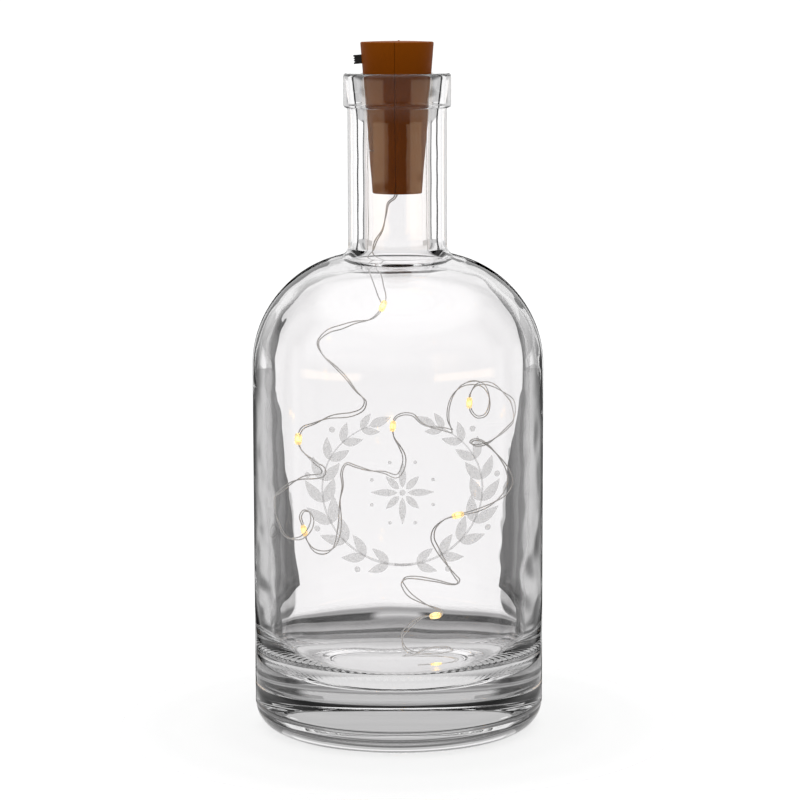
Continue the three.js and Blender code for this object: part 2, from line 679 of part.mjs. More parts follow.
// A resin drop is a pointed oval with a way through it for the wire. Its light sits in the middle of that way.
const dropProfile = [];
for (let i = 0; i <= dropRings; i += 1) {
  const angle = (Math.PI * i) / dropRings;
  const wall = (dropRadius - dropBore) * Math.sin(angle);
  dropProfile.push([dropBore + wall, (-dropLength / 2) * Math.cos(angle)]);
}
dropProfile.push(dropProfile[0]);
const dropSolid = turned(dropProfile, smallSides);
const chipSolid = block(
  [-chipSize.width / 2, -chipSize.height / 2, -chipSize.length / 2],
  [chipSize.width / 2, chipSize.height / 2, chipSize.length / 2],
);
const upright = new THREE.Vector3(0, 0, 1);
lightParameters.forEach((parameter, index) => {
  const light = new THREE.Group();
  light.position.copy(route.getPoint(parameter));
  light.quaternion.setFromUnitVectors(upright, route.getTangent(parameter));
  addPiece(light, `light_drop_${index + 1}`, dropSolid, resin);
  addPiece(light, `light_chip_${index + 1}`, chipSolid, chipYellow);
  bottleLight.add(light);
});

// The string's length, and the least gap between parts of it that are not next to each other.
const samples = route.getSpacedPoints(routeSamples);
const routeLength = route.getLength();
const spacing = routeLength / (samples.length - 1);
const apart = Math.ceil(neighbourReach / spacing);
let leastGap = Infinity;
for (let i = 0; i < samples.length; i += 1) {
  for (let j = i + apart; j < samples.length; j += 1) {
    leastGap = Math.min(leastGap, samples[i].distanceTo(samples[j]) - 2 * wireRadius);
  }
}
console.log(`string length ${routeLength.toFixed(1)} mm, least gap to itself ${leastGap.toFixed(2)} mm`);
if (leastGap <= leastWireGap) throw new Error('the string comes too close to itself');

export default bottleLight;
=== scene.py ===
"""Bottle light: a clear glass bottle, a stopper with a switch, and a string of warm lights inside."""

import json
import math

import bpy
import numpy as np
from mathutils import Matrix, Vector


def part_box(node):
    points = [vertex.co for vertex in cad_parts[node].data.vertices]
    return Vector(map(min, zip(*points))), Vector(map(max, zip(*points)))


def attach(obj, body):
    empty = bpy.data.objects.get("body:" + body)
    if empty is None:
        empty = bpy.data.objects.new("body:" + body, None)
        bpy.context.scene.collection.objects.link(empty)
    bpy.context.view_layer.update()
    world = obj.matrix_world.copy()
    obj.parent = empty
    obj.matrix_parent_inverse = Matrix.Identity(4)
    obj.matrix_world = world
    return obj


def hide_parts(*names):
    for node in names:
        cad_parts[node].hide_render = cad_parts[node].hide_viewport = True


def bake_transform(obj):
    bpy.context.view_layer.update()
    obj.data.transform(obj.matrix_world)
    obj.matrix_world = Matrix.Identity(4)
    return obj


bl_info = {
    "name": "Bottle light",
    "version": (1, 0, 0),
    "blender": (4, 5, 0),
    "location": "3D View > Sidebar > Bottle light",
    "description": "Models the looks of a bottle light around its packed frame",
    "category": "Object",
}

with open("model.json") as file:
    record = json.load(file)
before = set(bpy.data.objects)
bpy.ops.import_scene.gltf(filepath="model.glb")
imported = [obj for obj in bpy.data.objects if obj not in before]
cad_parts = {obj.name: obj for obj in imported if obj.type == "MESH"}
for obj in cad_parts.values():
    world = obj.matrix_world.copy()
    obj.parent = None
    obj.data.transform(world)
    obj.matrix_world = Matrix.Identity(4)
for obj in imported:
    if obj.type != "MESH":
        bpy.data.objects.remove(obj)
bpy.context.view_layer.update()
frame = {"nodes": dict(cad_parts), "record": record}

# Places that the frame gives
BOTTLE_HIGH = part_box("bottle")[1]
STOPPER_LOW, STOPPER_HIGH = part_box("stopper_shell_right")

# Fineness of the meshes: sides of a ring, and the longest stretch of a profile in metres
BOTTLE_SIDES = 192
STOPPER_SIDES = 128
ROOM_SIDES = 96
DISC_SIDES = 96
HOLE_SIDES = 48
NUB_SIDES = 24
BERRY_SIDES = 20
DROP_SIDES = 16
BOTTLE_STEP = 0.0014
STOPPER_STEP = 0.004
FLAG_STEP = 0.003
ROUTE_STEPS = 10
STEM_STEPS = 40
LEAF_STEPS = 10

# The knurl of the foot: its ridges, and the share of each that is lifted to either side
KNURL_RIDGES = 64
KNURL_SHARE = 0.1

# How the fine waves by the seams grow towards the sides of the bottle
SEAM_GAIN = 2.5
SEAM_START = 1.5

# The dark cards beside the body: turns in degrees, and places in shares of their height
CARD_START = 22.0
CARD_LEAN = 16.0
CARD_SPAN = 24.0
HORN_FROM = 0.57
HORN_RISE = 0.08
HORN_TURN = 7.0
FOOT_BELOW = 0.125
FOOT_RISE = 0.06
FOOT_TURN = 20.0

# How much wider a flag is where the glass leans
FLAG_LEAN_INSIDE = 0.6
FLAG_LEAN_OUTSIDE = 1.5

# Where the parts of the room begin and end: bearings in degrees from straight behind the bottle
GAP_BEARING = (48, 58)
STRIP_BEARING = (60, 75)
WING_END = (74, 82)
LOW_ROOM_START = (79, 85)
FRONT_START = (88, 104)
BESIDE_END = (95, 101)
BOX_BEARING = (98, 150)
BEARING_SOFT = 3

# Where the parts of the room begin and end: rises, as the sine of the height above eye level
BELOW_END = (-0.55, -0.36)
LOW_ROOM_END = (-0.3, -0.05)
WING_BRIGHTENS = (-0.28, -0.225)
BODY_PANEL = (-0.2, -0.165)
PANEL_OPENS = (-0.14, -0.088)
WARM_START = (-0.14, -0.1)
BOX_START = (-0.115, -0.08)
PANEL_NARROWS = (-0.02, 0.03)
BOX_END = (-0.01, 0.05)
WARM_END = (0.0, 0.1)
FRONT_RISE = (0.0, 0.3)
PANEL_DIMS = (0.08, 0.16)
BESIDE_RISE = (0.1, 0.4)
PANEL_WIDENS = (0.14, 0.2)
ABOVE_START = (0.55, 0.75)

# Shares of the room's light
PANEL_NARROW = 0.12
PANEL_WIDER = 0.45
GAP_DEPTH = 0.9
WING_LOW = 0.22
FRONT_SIDES = (-0.8, 0.8)
FRONT_LEFT = 1.3
FRONT_RIGHT = 0.75
WARM_TINT = (1, 0.73, 0.49, 1)

# How far inside the stopper's underside the string starts, in metres
EXIT_DEPTH = 0.0004

# Route of the string below the stopper, in tenths of a millimetre.
# Each row ends at a light, and the last at the loose end.
ROUTE_ROWS = (
    (
        (-8, -3, 1560), (-26, -10, 1545), (-33, -18, 1510), (-42, -20, 1465), (-60, -20, 1432),
        (-65, -20, 1410), (-60, -23, 1385), (-47, -30, 1348), (-43, -40, 1310), (-37, -58, 1275),
        (-43, -70, 1250),
    ),
    (
        (-60, -80, 1226), (-80, -92, 1213), (-120, -112, 1207), (-160, -140, 1196), (-197, -170, 1185),
        (-222, -184, 1158), (-210, -203, 1126), (-173, -240, 1095), (-144, -270, 1070),
        (-115, -300, 1036), (-90, -322, 1010), (-96, -326, 989), (-124, -314, 972), (-187, -284, 959),
        (-230, -255, 937), (-264, -230, 918), (-275, -220, 887),
    ),
    (
        (-269, -224, 860), (-241, -250, 835), (-222, -266, 821), (-210, -277, 815), (-204, -282, 804),
        (-208, -279, 793), (-222, -267, 787), (-263, -232, 777), (-294, -196, 758), (-325, -155, 728),
        (-353, -105, 700), (-368, -50, 668), (-372, 0, 630), (-369, 40, 595), (-360, 75, 555),
        (-340, 100, 533), (-316, 110, 528), (-293, 114, 532), (-272, 120, 552), (-264, 135, 580),
        (-274, 155, 600), (-292, 165, 602), (-302, 168, 584), (-296, 166, 562), (-290, 162, 542),
    ),
    (
        (-284, 166, 516), (-270, 182, 488), (-250, 200, 472), (-224, 225, 468), (-202, 250, 480),
        (-189, 266, 515), (-183, 270, 560), (-181, 270, 615), (-173, 278, 660), (-177, 288, 700),
        (-164, 298, 723), (-130, 316, 710), (-90, 330, 696), (-45, 340, 690), (-6, 340, 679),
        (12, 332, 700), (18, 320, 738), (4, 316, 772), (-13, 320, 800), (-17, 324, 833),
    ),
    (
        (-8, 326, 860), (18, 328, 873), (44, 328, 871), (68, 324, 848), (96, 320, 834), (140, 306, 828),
        (168, 286, 824), (166, 260, 834), (156, 238, 864), (155, 220, 902), (168, 206, 946),
        (194, 190, 978), (228, 174, 990), (258, 158, 984), (276, 144, 960), (279, 136, 926),
        (266, 134, 898), (242, 136, 892), (224, 140, 908), (216, 140, 936),
    ),
    (
        (218, 136, 964), (234, 124, 990), (266, 104, 998), (304, 74, 986), (330, 34, 966),
        (340, -10, 938), (332, -64, 912), (310, -116, 902), (278, -166, 883), (248, -204, 870),
        (220, -240, 870), (205, -264, 877), (200, -276, 885), (208, -282, 893), (224, -278, 891),
        (244, -266, 876), (274, -240, 840), (300, -214, 796), (308, -200, 758), (294, -212, 727),
        (260, -244, 704), (216, -280, 690), (163, -310, 682),
    ),
    (
        (126, -324, 672), (100, -330, 648), (94, -330, 620), (106, -325, 589), (136, -316, 536),
        (157, -301, 503), (166, -292, 489), (162, -285, 479), (148, -284, 477), (106, -290, 488),
        (44, -306, 502), (20, -310, 501), (10, -306, 489), (16, -296, 470), (33, -280, 444),
        (74, -260, 414), (116, -234, 390), (124, -212, 375), (104, -200, 367),
    ),
    (
        (66, -172, 355), (32, -154, 326), (9, -138, 292), (16, -125, 252), (44, -112, 222),
        (88, -94, 209), (134, -72, 206), (160, -42, 211), (146, -12, 221), (106, -16, 221),
        (70, -44, 214), (42, -74, 196), (20, -90, 196), (16, -110, 208), (40, -130, 216),
        (84, -138, 212), (130, -148, 208), (158, -160, 204), (171, -172, 198), (166, -186, 192),
        (142, -192, 186), (111, -190, 178.5),
    ),
    (
        (80, -189, 177), (56, -190, 175),
    ),
)

# One strand leaves the route above the first light and lies against the round of the neck
SPLIT_ROW = (
    *ROUTE_ROWS[0][:3],
    (-44, -20, 1468), (-66, -20, 1434), (-79, -21, 1408), (-88, -24, 1378), (-82, -32, 1349),
    (-69, -44, 1316), (-55, -58, 1280),
    ROUTE_ROWS[0][-1],
)
TENTHS_PER_METRE = 10000


def length(name, description, default):
    """A size in metres."""
    return bpy.props.FloatProperty(
        name=name, description=description, default=default, unit="LENGTH", precision=5
    )


def angle(name, description, degrees):
    """An angle, given in degrees."""
    return bpy.props.FloatProperty(
        name=name, description=description, default=math.radians(degrees), subtype="ANGLE"
    )


def share(name, description, default):
    """A plain number."""
    return bpy.props.FloatProperty(name=name, description=description, default=default, precision=4)


class BottleSizes(bpy.types.PropertyGroup):
    """Sizes of the glass bottle."""

    body_radius: length("Body radius", "Outer radius of the straight body", BOTTLE_HIGH.x)
    height: length("Height", "Height of the mouth above the foot", BOTTLE_HIGH.z)
    body_wall: length("Body wall", "Thickness of the wall at the shoulder", 0.0036)
    foot_wall: length("Foot wall", "Thickness of the wall at the foot", 0.0046)
    heel_radius: length("Heel radius", "Outer round of the foot", 0.007)
    heel_step: length("Heel step", "Step between the body and the round of the foot", 0.00018)
    bearing_width: length("Bearing width", "Width of the ring it stands on", 0.0026)
    push_up: length("Push-up", "Rise of the underside at its middle", 0.0032)
    pole: length("Pole", "Radius of the smallest ring in the middle of the underside and the floor", 0.0004)
    under_flat: length("Flat underside", "Radius of the flat middle of the underside", 0.0215)
    under_step: length("Underside step", "Step round the flat middle of the underside", 0.0005)
    floor_height: length("Floor height", "Height of the inner floor", 0.0164)
    inner_heel_radius: length("Inner heel radius", "Inner round above the floor", 0.015)
    spring_height: length("Spring height", "Height where the shoulder starts", 0.1069)
    shoulder_radius: length("Shoulder radius", "Outer round of the shoulder", 0.033)
    neck_fillet: length("Neck fillet", "Outer round where the neck meets the shoulder", 0.0028)
    inner_neck_round: length("Inner neck round", "Inner round at the foot of the neck", 0.009)
    neck_radius: length("Neck radius", "Outer radius of the neck", 0.014388)
    bore_radius: length("Bore radius", "Inner radius of the neck", 0.009)
    mouth_radius: length("Mouth radius", "Inner radius at the lip", 0.010198)
    mouth_depth: length("Mouth depth", "Depth of the tapered mouth below the lip", 0.0126)
    mouth_round: length("Mouth round", "Round between the mouth's taper and the bore", 0.05)
    ring_height: length("Ring height", "Height of the ring at the mouth", 0.0099)
    ring_projection: length("Ring projection", "How far the ring stands out from the neck", 0.0012)
    ring_round: length("Ring round", "Round of the ring's edges", 0.0009)
    lip_round: length("Lip round", "Round of the inner edge of the lip", 0.0006)
    knurl_inner: length("Knurl inner radius", "Radius where the grooves of the foot start", 0.0275)
    knurl_height: length("Knurl height", "Depth of the grooves in the foot", 0.00045)
    wave_body: length("Body wave", "Height of the waves of the inner surface in the body", 0.00016)
    wave_seam: length("Seam wave", "Height of the fine inner waves by the mould's seams", 0.00012)
    wave_neck: length("Neck wave", "Height of the waves of the inner surface in the neck", 0.0001)
    wave_body_size: length("Body wave size", "Size of the waves in the body", 0.013)
    wave_seam_size: length("Seam wave size", "Size of the waves by the mould's seams", 0.0055)
    wave_neck_size: length("Neck wave size", "Size of the waves in the neck", 0.005)


class StringSizes(bpy.types.PropertyGroup):
    """Sizes of the string of lights."""

    strand_radius: length("Strand radius", "Radius of one strand of the twin wire", 0.00017)
    strand_gap: length("Strand gap", "Least distance of a strand from the middle of the pair", 0.00028)
    strand_sway: length("Strand sway", "How much further apart the strands drift", 0.0003)
    twist_pitch: length("Twist pitch", "Length of one turn of the pair", 0.036)
    drop_length: length("Drop length", "Length of a resin drop along the wire", 0.0032)
    drop_radius: length("Drop radius", "Radius of a resin drop", 0.00095)
    chip_length: length("Chip length", "Length of the light inside a drop", 0.0012)
    chip_width: length("Chip width", "Width of the light inside a drop", 0.0007)


class WreathSizes(bpy.types.PropertyGroup):
    """Sizes of the frosted wreath on the front of the glass."""

    middle_side: length("Middle side", "How far the wreath's middle is to the right", 0.0012)
    middle_height: length("Middle height", "Height of the wreath's middle", 0.0765)
    half_width: length("Half width", "Half the width of the wreath's stem", 0.0225)
    half_height: length("Half height", "Half the height of the wreath's stem", 0.0205)
    stem_half: length("Stem half width", "Half the width of a stem", 0.00032)
    leaf_length: length("Leaf length", "Length of the largest leaf", 0.0082)
    leaf_half: length("Leaf half width", "Half the width of the largest leaf", 0.00165)
    berry_radius: length("Berry radius", "Radius of a berry", 0.00085)
    star_reach: length("Star reach", "Reach of the star in the middle", 0.0074)
    thickness: length("Thickness", "Thickness of the frosted layer", 0.00004)
    leaf_pairs: bpy.props.IntProperty(
        name="Leaf pairs", description="Pairs of leaves on each branch", default=9
    )


class StopperSizes(bpy.types.PropertyGroup):
    """Sizes of the stopper. Heights are above its underside."""

    taper: angle("Taper", "Slope of the stopper's side", 4.49)
    turn: angle("Turn", "How far the stopper is turned in the mouth", -3.9)
    wall: length("Wall", "Thickness of the housing", 0.0013)
    top_round: length("Top round", "Round of the top edge", 0.0004)
    crown: length("Crown", "Rise of the top at its middle", 0.00025)
    bottom_round: length("Bottom round", "Round of the bottom edge", 0.0005)
    seam: length("Seam", "Gap between the two halves", 0.0001)
    edge_bevel: length("Edge bevel", "Bevel of the edges of the halves and the door", 0.00014)
    wire_room_low: length("Wire room low", "Floor of the room for the wires", 0.0016)
    wire_room_high: length("Wire room high", "Top of the room for the wires", 0.0105)
    cell_room_low: length("Cell room low", "Floor of the room for the cells", 0.0115)
    cell_room_high: length("Cell room high", "Top of the room for the cells", 0.0298)
    switch_room_low: length("Switch room low", "Floor of the room for the switch", 0.0308)
    switch_room_high: length("Switch room high", "Top of the room for the switch", 0.0418)
    gland_hole: length("Gland hole", "Radius of the hole for the wire's bush", 0.002)
    door_half: length("Door half width", "Half the width of the doorway", 0.006)
    door_low: length("Door low", "Bottom of the doorway", 0.0123)
    door_high: length("Door high", "Top of the doorway", 0.0296)
    door_gap: length("Door gap", "Gap round the door", 0.0003)
    grip_width: length("Grip width", "Width of the grip for a fingernail", 0.005)
    grip_height: length("Grip height", "Height of the grip for a fingernail", 0.001)
    grip_depth: length("Grip depth", "Depth of the grip for a fingernail", 0.00045)
    nub_radius: length("Nub radius", "Radius of the small nub on the top", 0.0004)


class SwitchSizes(bpy.types.PropertyGroup):
    """Sizes of the slide switch. Its place is on the stopper's side."""

    middle: length("Middle", "Height of the switch above the stopper's underside", 0.0375)
    travel: length("Travel", "How far the knob slides", 0.002)
    knob_height: length("Knob height", "Height of the knob", 0.0026)
    knob_width: length("Knob width", "Width of the knob", 0.0022)
    knob_proud: length("Knob proud", "How far the knob stands out", 0.0023)
    knob_depth: length("Knob depth", "How far the knob reaches in", 0.0034)
    knob_bevel: length("Knob bevel", "Bevel of the knob's edges", 0.00018)
    groove: length("Groove", "Width of a groove across the knob", 0.00032)
    slot_room: length("Slot room", "Room round the knob in its slot", 0.0003)
    seat_half_width: length("Seat half width", "Half the width of the block behind the wall", 0.0024)
    seat_half_length: length("Seat half length", "Half the length of the block behind the wall", 0.004)
    seat_depth: length("Seat depth", "Depth of the block behind the wall", 0.002)


class StageSizes(bpy.types.PropertyGroup):
    """Camera, floor and light of the stage."""

    camera_distance: length("Camera distance", "From the object's axis to the camera", 0.8)
    camera_height: length("Camera height", "Height of the camera above the floor", 0.21089)
    camera_side: length("Camera side", "How far the camera stands to the right", 0.00058)
    camera_pitch: angle("Camera pitch", "How far the camera looks down", 8.135)
    camera_roll: angle("Camera roll", "Turn of the camera about its view", -0.16)
    focal_pixels: share("Focal length", "Focal length in pixels of the picture", 2758.1)
    picture_pixels: share("Picture width", "Width of the picture in pixels", 800.0)
    floor_radius: length("Floor radius", "Radius of the pale floor", 0.13)
    floor_solid: length("Floor solid", "Radius where the floor starts to fade", 0.06)
    panel_half: angle("Panel half width", "Half the width of the white panel behind the body", 9.6)
    panel_body: angle("Panel body half", "Half width of the panel behind the upper body", 17.0)
    panel_wide: angle("Panel wide half width", "Half the width of the white panel higher up", 46.0)
    panel_soft: angle("Panel softness", "Half the width of the panel's soft edge", 0.5)
    wing_light: share("Wing light", "Brightness of the room beside the panel", 0.62)
    dark_light: share("Dark light", "Brightness of the dark sides of the room", 0.03)
    card_light: share("Card light", "Brightness of the dark card on each side of the body", 0.13)
    card_radius: length("Card radius", "Distance of the cards from the object's axis", 0.11)
    card_height: length("Card height", "Height of the cards", 0.142)
    room_light: share("Room light", "Brightness of the room in front", 0.03)
    low_room: share("Low room light", "Brightness of the sides and front of the room below eye level", 0.42)
    front_light: share("Front light", "Brightness of the room in front above eye level", 0.55)
    panel_light: share("Panel light", "Brightness of the panel behind", 1.1)
    upper_light: share("Upper light", "Brightness of the panel above eye level", 0.92)
    strip_light: share("Strip light", "Brightness of a strip light on each side", 0.75)
    side_light: share("Side light", "Brightness of the two soft boxes in front", 1.7)
    floor_light: share("Floor light", "Brightness of the room far below the floor", 0.3)
    floor_cover: share("Floor cover", "How much of the light behind it the floor hides", 0.35)
    flag_depth: share("Flag depth", "How far behind the edge the black flags stand, in radii", 0.353)
    flag_inside: share("Flag inside", "How far the flags reach inwards of the edge, in radii", 0.03)
    flag_lean_from: length("Flag lean radius", "Radius past which a leaning flag is wider", 0.02)
    flag_outside: share("Flag outside", "How far the flags reach outwards of the edge, in radii", 0.062)
    low_radius: length("Low card radius", "Distance of the low card from the object's axis", 0.05)
    low_bottom: length("Low card bottom", "Height of the low card's bottom edge", 0.0005)
    low_top: length("Low card top", "Height of the low card's top edge", 0.0185)
    low_half: angle("Low card half width", "Half the turn that the low card spans", 75.0)
    low_cover: share("Low card cover", "How dense the middle of the low card is", 0.9)
    low_thin: share("Low card thin", "How dense the upper part of the low card is", 0.42)
    low_foot: share("Low card foot", "How dense the lowest part of the low card is", 0.5)
    low_light: share("Low card light", "Brightness of the cards near the floor", 0.03)
    wedge_radius: length("Foot card radius", "Radius of the dark card on each side of the foot", 0.072)
    wedge_from: angle("Foot card start", "Where the dark cards on the sides of the foot start", 4.8)
    wedge_to: angle("Foot card end", "Where the dark cards on the sides of the foot end", 55.0)
    wedge_low: length("Foot card bottom", "Bottom of the dark cards on the sides of the foot", 0.0008)
    wedge_top: length("Foot card top", "Top of the dark cards on the sides of the foot", 0.0085)
    wedge_cover: share("Foot card cover", "How dense the dark cards on the sides of the foot are", 0.97)
    heel_radius: length("Heel card radius", "Radius of the card that darkens the heel", 0.067)
    heel_cover: share("Heel card cover", "How dense the card that darkens the heel is", 0.25)
    spot_wide: length("Spot half width", "Half width of the bright spot under the bottle", 0.029)
    spot_deep: length("Spot half depth", "Half depth of the bright spot under the bottle", 0.035)
    spot_ahead: length("Spot place", "How far ahead of the axis the bright spot is", 0.008)
    shade_outer: length("Shade outer radius", "Radius where the bottle's soft shade on the floor ends", 0.11)
    shade_fade: length("Shade fade", "Width of the soft outer edge of the shade", 0.016)
    shade_pitch: length("Shade pitch", "Distance between the light rings of the shade", 0.0195)
    shade_crest: length("Shade crest", "Radius of one of the light rings of the shade", 0.081)
    shade_cover: share("Shade cover", "How dense the shade is", 0.9)
    shade_light: share("Shade light", "Brightness of the shade", 0.62)
    shade_swing: share("Shade swing", "How much the rings of the shade differ from it", 0.19)
    shade_spot: share("Shade spot", "Brightness of the spot under the bottle", 0.85)
    top_light: share("Top light", "Brightness of the soft box above", 1.2)


def clear_selection():
    """Leaves edit mode and selects nothing."""
    if bpy.context.object and bpy.context.object.mode != "OBJECT":
        bpy.ops.object.mode_set(mode="OBJECT")
    bpy.ops.object.select_all(action="DESELECT")


def choose(piece):
    """Selects one piece alone and makes it active."""
    clear_selection()
    piece.select_set(True)
    bpy.context.view_layer.objects.active = piece


def place(piece, matrix=None):
    """Moves a piece by a matrix and puts its place into its mesh."""
    if matrix is not None:
        piece.matrix_basis = matrix @ piece.matrix_basis
    choose(piece)
    bpy.ops.object.transform_apply(location=True, rotation=True, scale=True)


def select_vertices(piece, test):
    """Selects the vertices whose place passes a test, in vertex mode."""
    choose(piece)
    bpy.ops.object.mode_set(mode="EDIT")
    bpy.ops.mesh.select_mode(type="VERT")
    bpy.ops.mesh.select_all(action="DESELECT")
    bpy.ops.object.mode_set(mode="OBJECT")
    for vertex in piece.data.vertices:
        vertex.select = test(vertex.co)
    bpy.ops.object.mode_set(mode="EDIT")


def apply_modifier(piece, kind, **settings):
    """Adds a modifier and applies it."""
    choose(piece)
    modifier = piece.modifiers.new(kind.title(), kind)
    for key, value in settings.items():
        setattr(modifier, key, value)
    bpy.ops.object.modifier_apply(modifier=modifier.name)


def bevel(piece, width, segments):
    """Bevels the sharp edges of a piece."""
    limit = math.radians(50)
    apply_modifier(
        piece, "BEVEL", width=width, segments=segments, limit_method="ANGLE", angle_limit=limit
    )


def smooth(piece, degrees=40.0):
    """Smooth shading with the sharp edges kept."""
    choose(piece)
    bpy.ops.object.shade_smooth_by_angle(angle=math.radians(degrees))


def arc(centre_radius, centre_height, radius, start, end, step=4.0):
    """Points of an arc in a profile of radius and height, from one angle in degrees to another."""
    steps = max(2, math.ceil(abs(end - start) / step))
    points = []
    for i in range(steps + 1):
        turn = math.radians(start + (end - start) * i / steps)
        points.append((centre_radius + radius * math.cos(turn), centre_height + radius * math.sin(turn)))
    return points


def even_out(profile, longest):
    """A profile with more points on its long straight stretches."""
    points = [profile[0]]
    for (r0, z0), (r1, z1) in zip(profile, profile[1:]):
        steps = max(1, math.ceil(math.hypot(r1 - r0, z1 - z0) / longest))
        points += [(r0 + (r1 - r0) * i / steps, z0 + (z1 - z0) * i / steps) for i in range(1, steps + 1)]
    return points


def way_along(line, i):
    """The direction of a line at one of its points."""
    return (Vector(line[min(i + 1, len(line) - 1)]) - Vector(line[max(i - 1, 0)])).normalized()


def combine(piece, other, operation):
    """Cuts, joins or meets a piece with another one, which is used up."""
    apply_modifier(piece, "BOOLEAN", object=other, operation=operation, solver="EXACT")
    bpy.data.meshes.remove(other.data)


def twin(piece, name):
    """A copy of a piece with a mesh of its own."""
    copy = piece.copy()
    copy.data = piece.data.copy()
    copy.name = name
    bpy.context.scene.collection.objects.link(copy)
    return copy


def block(name, low, high, matrix=None):
    """A plain block between two corners."""
    clear_selection()
    low, high = Vector(low), Vector(high)
    bpy.ops.mesh.primitive_cube_add(size=1, location=(low + high) / 2)
    made = bpy.context.object
    made.name = name
    made.scale = high - low
    place(made, matrix)
    return made


def flat_grid(across, up):
    """A flat square of one metre, cut into a grid."""
    clear_selection()
    bpy.ops.mesh.primitive_grid_add(x_subdivisions=across, y_subdivisions=up, size=1)
    return bpy.context.object


def turn_profile(name, profile, sides):
    """A turned piece: a ring that is extruded along a profile of (radius, height), closed at both ends."""
    clear_selection()
    radius, height = profile[0]
    bpy.ops.mesh.primitive_circle_add(vertices=sides, radius=radius, location=(0, 0, height))
    piece = bpy.context.object
    piece.name = name
    place(piece)
    bpy.ops.object.mode_set(mode="EDIT")
    bpy.ops.mesh.select_all(action="SELECT")
    bpy.ops.mesh.edge_face_add()
    bpy.ops.mesh.select_mode(type="EDGE")
    for (r0, z0), (r1, z1) in zip(profile, profile[1:]):
        bpy.ops.mesh.extrude_edges_move(TRANSFORM_OT_translate={"value": (0, 0, z1 - z0)})
        bpy.ops.transform.resize(value=(r1 / r0, r1 / r0, 1), center_override=(0, 0, z1))
    bpy.ops.mesh.edge_face_add()
    bpy.ops.mesh.select_all(action="SELECT")
    bpy.ops.mesh.normals_make_consistent(inside=False)
    bpy.ops.object.mode_set(mode="OBJECT")
    return piece


def finish_piece(piece, material, body, slot, *nodes):
    """Gives a piece its material and its body, and hides the nodes it stands for. The slot is not used."""
    piece.data.materials.clear()
    piece.data.materials.append(material)
    if body:
        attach(piece, body)
    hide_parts(*nodes)
    clear_selection()


class Nodes:
    """A node tree, with short calls for the nodes that the light and the finishes use."""

    def __init__(self, tree):
        self.tree = tree

    def node(self, kind, **settings):
        made = self.tree.nodes.new(kind)
        for key, value in settings.items():
            setattr(made, key, value)
        return made

    def link(self, source, target):
        self.tree.links.new(source, target)

    def calculate(self, operation, *values):
        """The result of a sum on factors and plain numbers."""
        made = self.node("ShaderNodeMath", operation=operation)
        for socket, value in zip(made.inputs, values):
            if isinstance(value, (int, float)):
                socket.default_value = value
            else:
                self.link(value, socket)
        return made.outputs["Value"]

    def product(self, first, *others):
        """Factors and plain numbers, multiplied in turn."""
        for other in others:
            first = self.calculate("MULTIPLY", first, other)
        return first

    def fade(self, factor, start, end, first=0.0, last=1.0):
        """A soft step from one value to another between two places of a factor."""
        step = self.node("ShaderNodeMapRange", interpolation_type="SMOOTHSTEP")
        for socket, number in zip(list(step.inputs)[1:5], (start, end, first, last)):
            socket.default_value = number
        self.link(factor, step.inputs["Value"])
        return step.outputs["Result"]

    def reach(self, vector):
        """The length of a vector."""
        made = self.node("ShaderNodeVectorMath", operation="LENGTH")
        self.link(vector, made.inputs[0])
        return made.outputs["Value"]


class Shading(Nodes):
    """A material's nodes, with its shader and the place on the piece."""

    def __init__(self, name):
        self.material = bpy.data.materials.new(name)
        self.material.use_nodes = True
        super().__init__(self.material.node_tree)
        self.shader = self.tree.nodes["Principled BSDF"]
        self.place = self.node("ShaderNodeTexCoord").outputs["Object"]

    def feed(self, source, *names):
        """Links a result to inputs of the shader."""
        for name in names:
            self.link(source, self.shader.inputs[name])

    def noise(self, scale, detail=2.0, stretch=None):
        """A noise pattern's factor; stretch scales its axes."""
        texture = self.node("ShaderNodeTexNoise")
        texture.inputs["Scale"].default_value = scale
        texture.inputs["Detail"].default_value = detail
        source = self.place
        if stretch:
            mapping = self.node("ShaderNodeMapping")
            mapping.inputs["Scale"].default_value = stretch
            self.link(source, mapping.inputs["Vector"])
            source = mapping.outputs["Vector"]
        self.link(source, texture.inputs["Vector"])
        return texture.outputs["Fac"]

    def spread(self, factor, low, high):
        """A factor taken to a range."""
        mapped = self.node("ShaderNodeMapRange")
        mapped.inputs["To Min"].default_value = low
        mapped.inputs["To Max"].default_value = high
        self.link(factor, mapped.inputs["Value"])
        return mapped.outputs["Result"]

    def blend_colours(self, factor, first, second):
        """A colour between two, by a factor."""
        ramp = self.node("ShaderNodeValToRGB")
        ramp.color_ramp.elements[0].color = (*first, 1)
        ramp.color_ramp.elements[1].color = (*second, 1)
        self.link(factor, ramp.inputs["Fac"])
        return ramp.outputs["Color"]

    def bump(self, factor, strength, distance):
        """Relief from a factor."""
        relief = self.node("ShaderNodeBump")
        relief.inputs["Strength"].default_value = strength
        relief.inputs["Distance"].default_value = distance
        self.link(factor, relief.inputs["Height"])
        self.link(relief.outputs["Normal"], self.shader.inputs["Normal"])

    def set(self, **values):
        for key, value in values.items():
            self.shader.inputs[key.replace("_", " ")].default_value = value

    def only_glow(self):
        """Takes away all but the shader's own white light."""
        self.set(Base_Color=(0, 0, 0, 1), Specular_IOR_Level=0.0, Emission_Color=(1, 1, 1, 1))


def scaled(colour_value, factor):
    """A colour made lighter or darker."""
    return tuple(min(1.0, channel * factor) for channel in colour_value)


